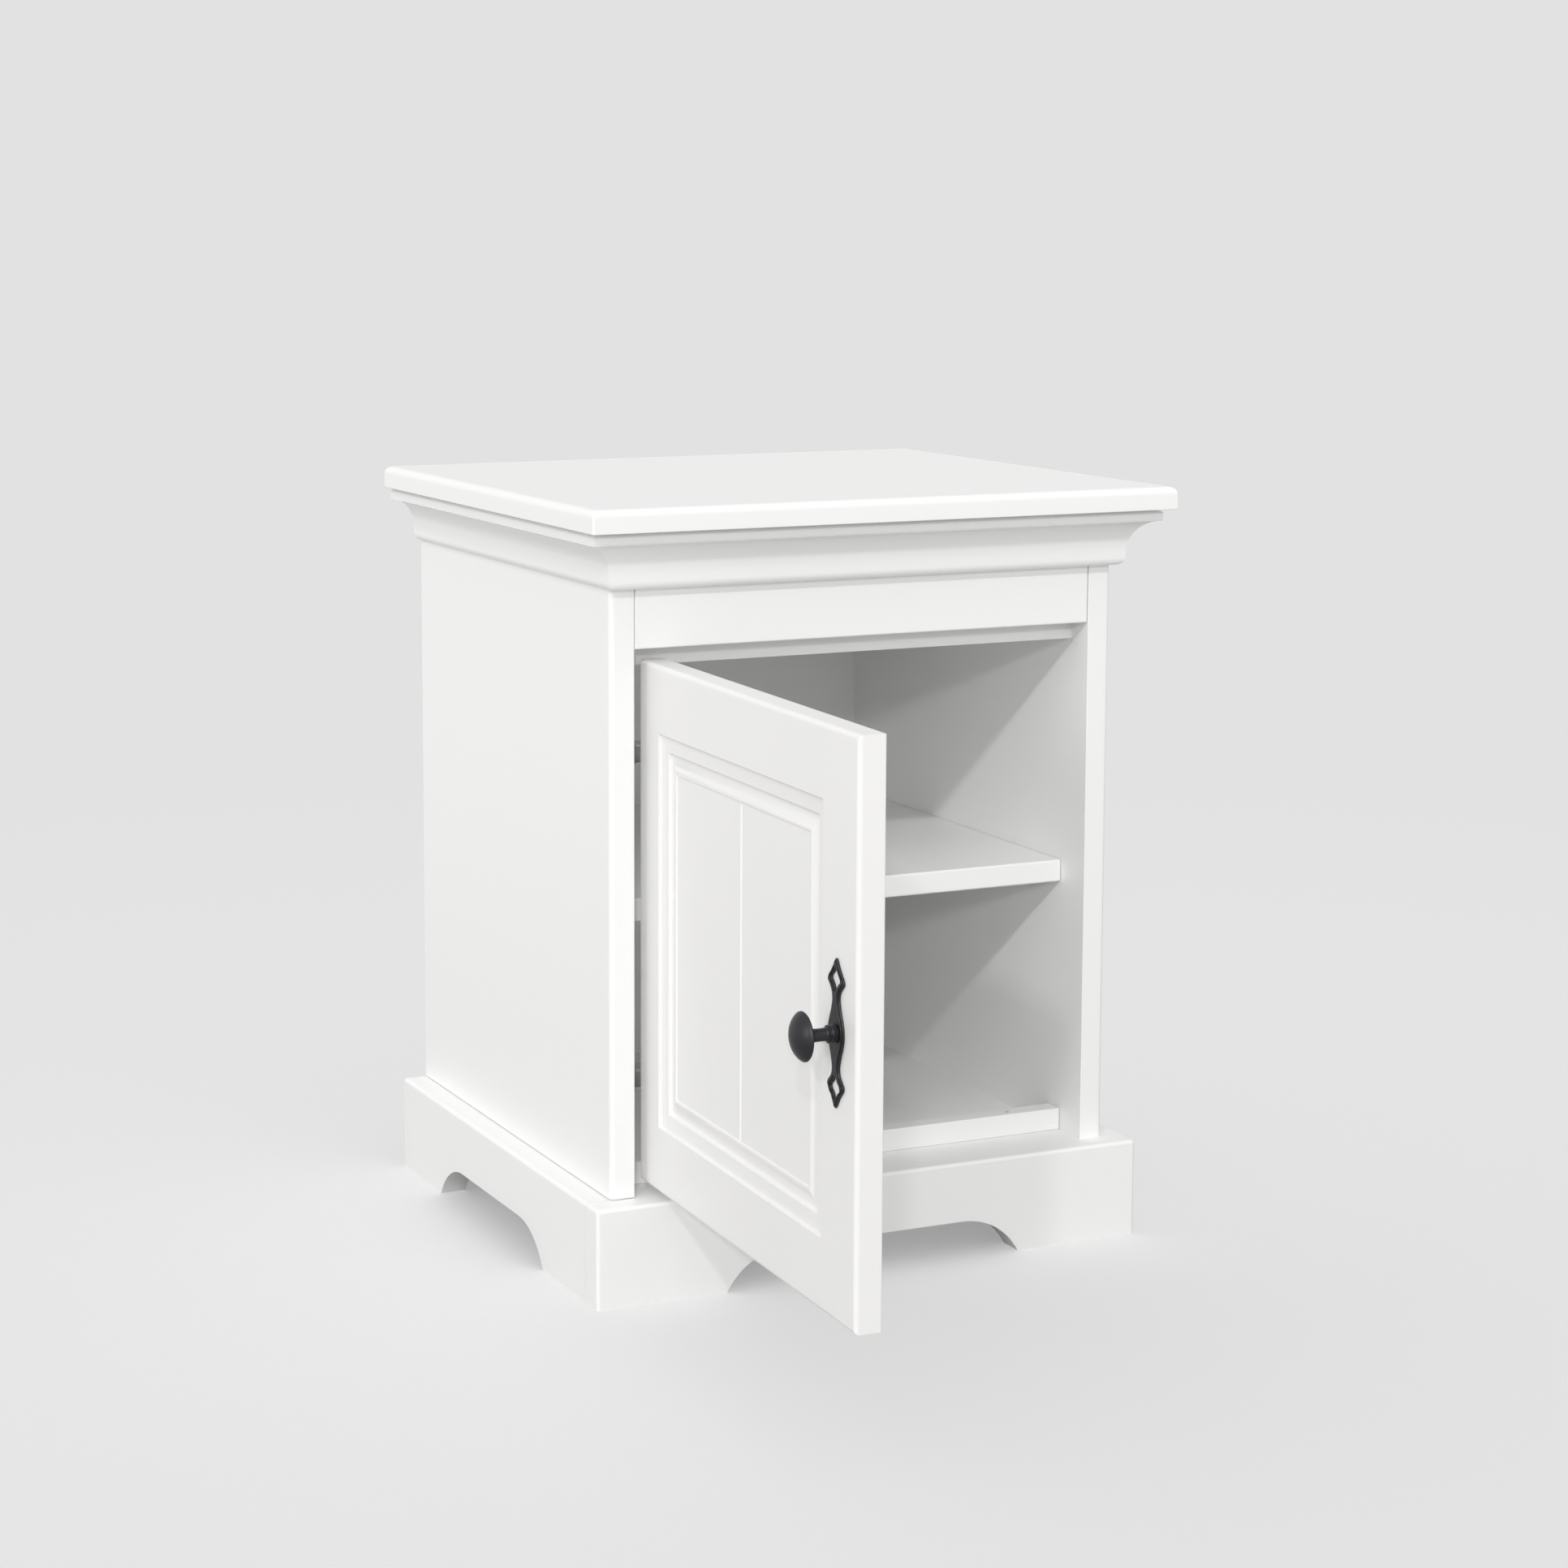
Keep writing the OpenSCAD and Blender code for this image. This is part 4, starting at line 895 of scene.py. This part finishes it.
class NIGHTSTAND_OT_knob_backplate(bpy.types.Operator):
    """Make the pierced iron plate behind the knob"""
    bl_idname = "nightstand.knob_backplate"
    bl_label = "Knob backplate"

    def execute(self, context):
        bm = bmesh.new()
        # a base with a rolled rim, and a narrower face raised on it, in millimetres
        for inset, roll, low, high in ((0.0, 0.75, 0.0, 1.8), (1.6, 0.5, 0.7, 2.6)):
            self.layer(bm, inset, roll, low, high)
        bmesh.ops.rotate(bm, cent=(0, 0, 0), matrix=Matrix.Rotation(math.pi / 2, 3, "X"), verts=bm.verts)
        bmesh.ops.translate(bm, vec=knob_frame(), verts=bm.verts)
        swing_open(bm)
        finish_piece("knob_backplate", bm, "black_iron", "door", smooth_deg=40)
        return {"FINISHED"}

    def layer(self, bm, inset, roll, low, high):
        """Adds the outline as a slab with rolled edges between two heights."""
        curve = bpy.data.curves.new("backplate_outline", "CURVE")
        curve.dimensions = "2D"
        curve.fill_mode = "BOTH"
        curve.resolution_u = 6
        curve.offset = -(inset + roll) * MM
        curve.bevel_depth = roll * MM
        curve.bevel_resolution = 2
        curve.extrude = ((high - low) / 2 - roll) * MM
        lower = tuple((x, -z) for x, z in reversed(PLATE_QUARTER[:-1]))
        self.outline(curve, both_halves(PLATE_QUARTER + lower))
        for sign in (1, -1):
            self.outline(curve, [(x, sign * z) for x, z in both_halves(PIERCE_HALF)])
        holder = bpy.data.objects.new("outline_holder", curve)
        bpy.context.scene.collection.objects.link(holder)
        bpy.context.view_layer.update()
        slab = bpy.data.meshes.new_from_object(holder.evaluated_get(bpy.context.evaluated_depsgraph_get()))
        slab.transform(Matrix.Translation((0, 0, (low + high) / 2 * MM)))
        bm.from_mesh(slab)
        bpy.data.objects.remove(holder)
        bpy.data.curves.remove(curve)
        bpy.data.meshes.remove(slab)

    def outline(self, curve, points):
        """Adds one closed smooth outline to the curve."""
        spline = curve.splines.new("BEZIER")
        spline.bezier_points.add(len(points) - 1)
        for knot, (x, z) in zip(spline.bezier_points, points):
            knot.co = (x * MM, z * MM, 0)
            knot.handle_left_type = knot.handle_right_type = "AUTO"
        spline.use_cyclic_u = True


class NIGHTSTAND_OT_door_knob(bpy.types.Operator):
    """Turn the mushroom knob and its ringed collar"""
    bl_idname = "nightstand.door_knob"
    bl_label = "Door knob"

    def execute(self, context):
        r = sizes().knob_diameter / 2 / MM
        foot = 2.6
        # half section from the plate outward: radius and distance from the door, in millimetres
        section = ((0, foot), (6.6, foot), (6.6, 3.1), (6.0, 3.6), (5.6, 4.0), (6.1, 4.4), (6.35, 4.9),
                   (6.1, 5.4), (5.6, 5.8), (5.5, 6.2), (6.0, 6.7), (6.25, 7.2), (6.0, 7.7), (5.2, 8.1),
                   (4.7, 8.7), (4.5, 10.0), (4.4, 13.0), (4.5, 16.5), (4.9, 19.2), (6.0, 21.2), (8.2, 22.6),
                   (11.5, 23.5), (r - 1.6, 24.1), (r - 0.5, 24.4), (r, 25.0), (r - 0.1, 25.8),
                   (r - 0.7, 26.7), (r - 1.8, 27.9), (r - 3.4, 29.3), (r - 5.4, 30.6), (r - 8.0, 31.8),
                   (r - 11.0, 32.5), (r - 14.0, 32.9), (0, 33.0))
        section = [(radius * MM, out * MM) for radius, out in section]
        bm = bmesh.new()
        turn_section(bm, section, knob_frame(), Vector((0, -1, 0)), segments=64)
        swing_open(bm)
        finish_piece("door_knob", bm, "black_iron", "door", smooth_deg=50)
        return {"FINISHED"}


# Each lamp's name, strength, spread in degrees and aim
LAMPS = (("key_lamp", 0.40, 2.5, (0.62, 1.03, -0.83)), ("side_key_lamp", 0.44, 2.5, (1.0, 1.03, -0.83)),
         ("front_lamp", 0.52, 4, (1.0, 2.0, -0.68)), ("steep_lamp", 0.18, 20, (0.5, 1.0, -1.6)),
         ("left_lamp", 0.36, 14, (1.0, 0.15, -0.25)), ("top_lamp", 0.18, 100, (0.0, 0.1, -1.0)))
# The camera that was fitted to the photograph: place in metres, tilt down and turn to the right in degrees
CAMERA_PLACE = (-1.20693, -2.30506, 0.83745)
CAMERA_TILT, CAMERA_TURN = 7.2998, 24.2205


class NIGHTSTAND_OT_stage(bpy.types.Operator):
    """Set the pale floor, the soft lamps and the camera"""
    bl_idname = "nightstand.stage"
    bl_label = "Stage"

    def execute(self, context):
        floor = self.floor()
        self.sky()
        self.lamps(floor)
        self.camera()
        bpy.context.scene.view_settings.view_transform = "Standard"
        return {"FINISHED"}

    def floor(self):
        """The floor, lifted a little for the camera alone; far away it melts into the backdrop."""
        half, melts_from, melts_to = 30, 0.7, 2.6
        bm = bmesh.new()
        bmesh.ops.create_grid(bm, x_segments=2, y_segments=2, size=half)
        mesh = bpy.data.meshes.new("studio_floor")
        bm.to_mesh(mesh)
        bm.free()
        tree, shader, place = fresh_material("studio_floor")
        tint = rgba(colours().backdrop)
        feed(shader, Base_Color=tint, Roughness=0.9, Specular_IOR_Level=0.1)
        plain = shader.outputs["BSDF"]
        lift = add_node(tree, "ShaderNodeEmission", Color=tint, Strength=0.40)
        lifted = add_node(tree, "ShaderNodeAddShader", plain, lift.outputs[0])
        path = add_node(tree, "ShaderNodeLightPath").outputs
        seen = add_node(tree, "ShaderNodeMixShader", path["Is Camera Ray"], plain, lifted.outputs[0])
        away = add_node(tree, "ShaderNodeVectorMath", place, operation="LENGTH")
        far = remap(tree, away.outputs["Value"], From_Min=melts_from, From_Max=melts_to,
                    interpolation_type="SMOOTHSTEP")
        haze = add_node(tree, "ShaderNodeEmission", Color=tint, Strength=1.0)
        melt = add_node(tree, "ShaderNodeMixShader", far, seen.outputs[0], haze.outputs[0])
        feed(tree.nodes["Material Output"], Surface=melt.outputs[0])
        mesh.materials.append(bpy.data.materials["studio_floor"])
        floor = bpy.data.objects.new("studio_floor", mesh)
        bpy.context.scene.collection.objects.link(floor)
        return floor

    def sky(self):
        """White light from all round; the camera and mirroring surfaces see the backdrop instead."""
        world = bpy.data.worlds.new("studio")
        bpy.context.scene.world = world
        world.use_nodes = True
        tree = world.node_tree
        tree.nodes.clear()
        light = add_node(tree, "ShaderNodeBackground", Color=(1, 1, 1, 1), Strength=0.62)
        seen = add_node(tree, "ShaderNodeBackground", Color=rgba(colours().backdrop), Strength=1.0)
        path = add_node(tree, "ShaderNodeLightPath").outputs
        mirrored = add_node(tree, "ShaderNodeMath", path["Is Glossy Ray"], path["Is Transmission Ray"],
                            operation="MAXIMUM")
        shown = add_node(tree, "ShaderNodeMath", path["Is Camera Ray"], mirrored.outputs[0],
                         operation="MAXIMUM")
        mix = add_node(tree, "ShaderNodeMixShader", shown.outputs[0], light.outputs[0], seen.outputs[0])
        add_node(tree, "ShaderNodeOutputWorld", Surface=mix.outputs[0])

    def lamps(self, floor):
        """Lamps from the front, the left and above; the floor keeps the soft shadow of the sky alone."""
        kept_out = bpy.data.collections.new("kept_out_of_lamps")
        kept_out.objects.link(floor)
        kept_out.collection_objects[0].light_linking.link_state = "EXCLUDE"
        for name, strength, spread, aim in LAMPS:
            lamp = bpy.data.lights.new(name, "SUN")
            lamp.energy = strength
            lamp.angle = math.radians(spread)
            holder = bpy.data.objects.new(name, lamp)
            holder.rotation_euler = Vector(aim).to_track_quat("-Z", "Y").to_euler()
            bpy.context.scene.collection.objects.link(holder)
            holder.light_linking.receiver_collection = kept_out

    def camera(self):
        data = bpy.data.cameras.new("photo_camera")
        data.sensor_width = 36
        data.lens = 77.595
        data.shift_x = 0.08
        data.shift_y = -0.10
        data.clip_start = 0.05
        data.clip_end = 100
        camera = bpy.data.objects.new("photo_camera", data)
        camera.location = CAMERA_PLACE
        camera.rotation_euler = (math.radians(90 - CAMERA_TILT), 0, -math.radians(CAMERA_TURN))
        bpy.context.scene.collection.objects.link(camera)
        bpy.context.scene.camera = camera


class NIGHTSTAND_PT_pieces(bpy.types.Panel):
    """Lists the nightstand's pieces and their sizes"""
    bl_idname = "NIGHTSTAND_PT_pieces"
    bl_label = "Nightstand"
    bl_space_type = "VIEW_3D"
    bl_region_type = "UI"
    bl_category = "Nightstand"

    def draw(self, context):
        layout = self.layout
        for operator in STEPS:
            layout.operator(operator.bl_idname)
        for group in (context.scene.nightstand_sizes, context.scene.nightstand_colours):
            box = layout.box()
            for key in group.__annotations__:
                box.prop(group, key)


STEPS = (NIGHTSTAND_OT_finishes, NIGHTSTAND_OT_top_board, NIGHTSTAND_OT_cornice,
         NIGHTSTAND_OT_carcass_boards, NIGHTSTAND_OT_plinth, NIGHTSTAND_OT_door_panel,
         NIGHTSTAND_OT_knob_backplate, NIGHTSTAND_OT_door_knob, NIGHTSTAND_OT_stage)
CLASSES = (NightstandSizes, NightstandColours) + STEPS + (NIGHTSTAND_PT_pieces,)


def register():
    for cls in CLASSES:
        bpy.utils.register_class(cls)
    bpy.types.Scene.nightstand_sizes = bpy.props.PointerProperty(type=NightstandSizes)
    bpy.types.Scene.nightstand_colours = bpy.props.PointerProperty(type=NightstandColours)


def unregister():
    del bpy.types.Scene.nightstand_colours
    del bpy.types.Scene.nightstand_sizes
    for cls in reversed(CLASSES):
        bpy.utils.unregister_class(cls)


def main():
    register()
    bpy.ops.nightstand.finishes()
    bpy.ops.nightstand.top_board()
    bpy.ops.nightstand.cornice()
    bpy.ops.nightstand.carcass_boards()
    bpy.ops.nightstand.plinth()
    bpy.ops.nightstand.door_panel()
    bpy.ops.nightstand.knob_backplate()
    bpy.ops.nightstand.door_knob()
    bpy.ops.nightstand.stage()


if __name__ == "__main__":
    main()
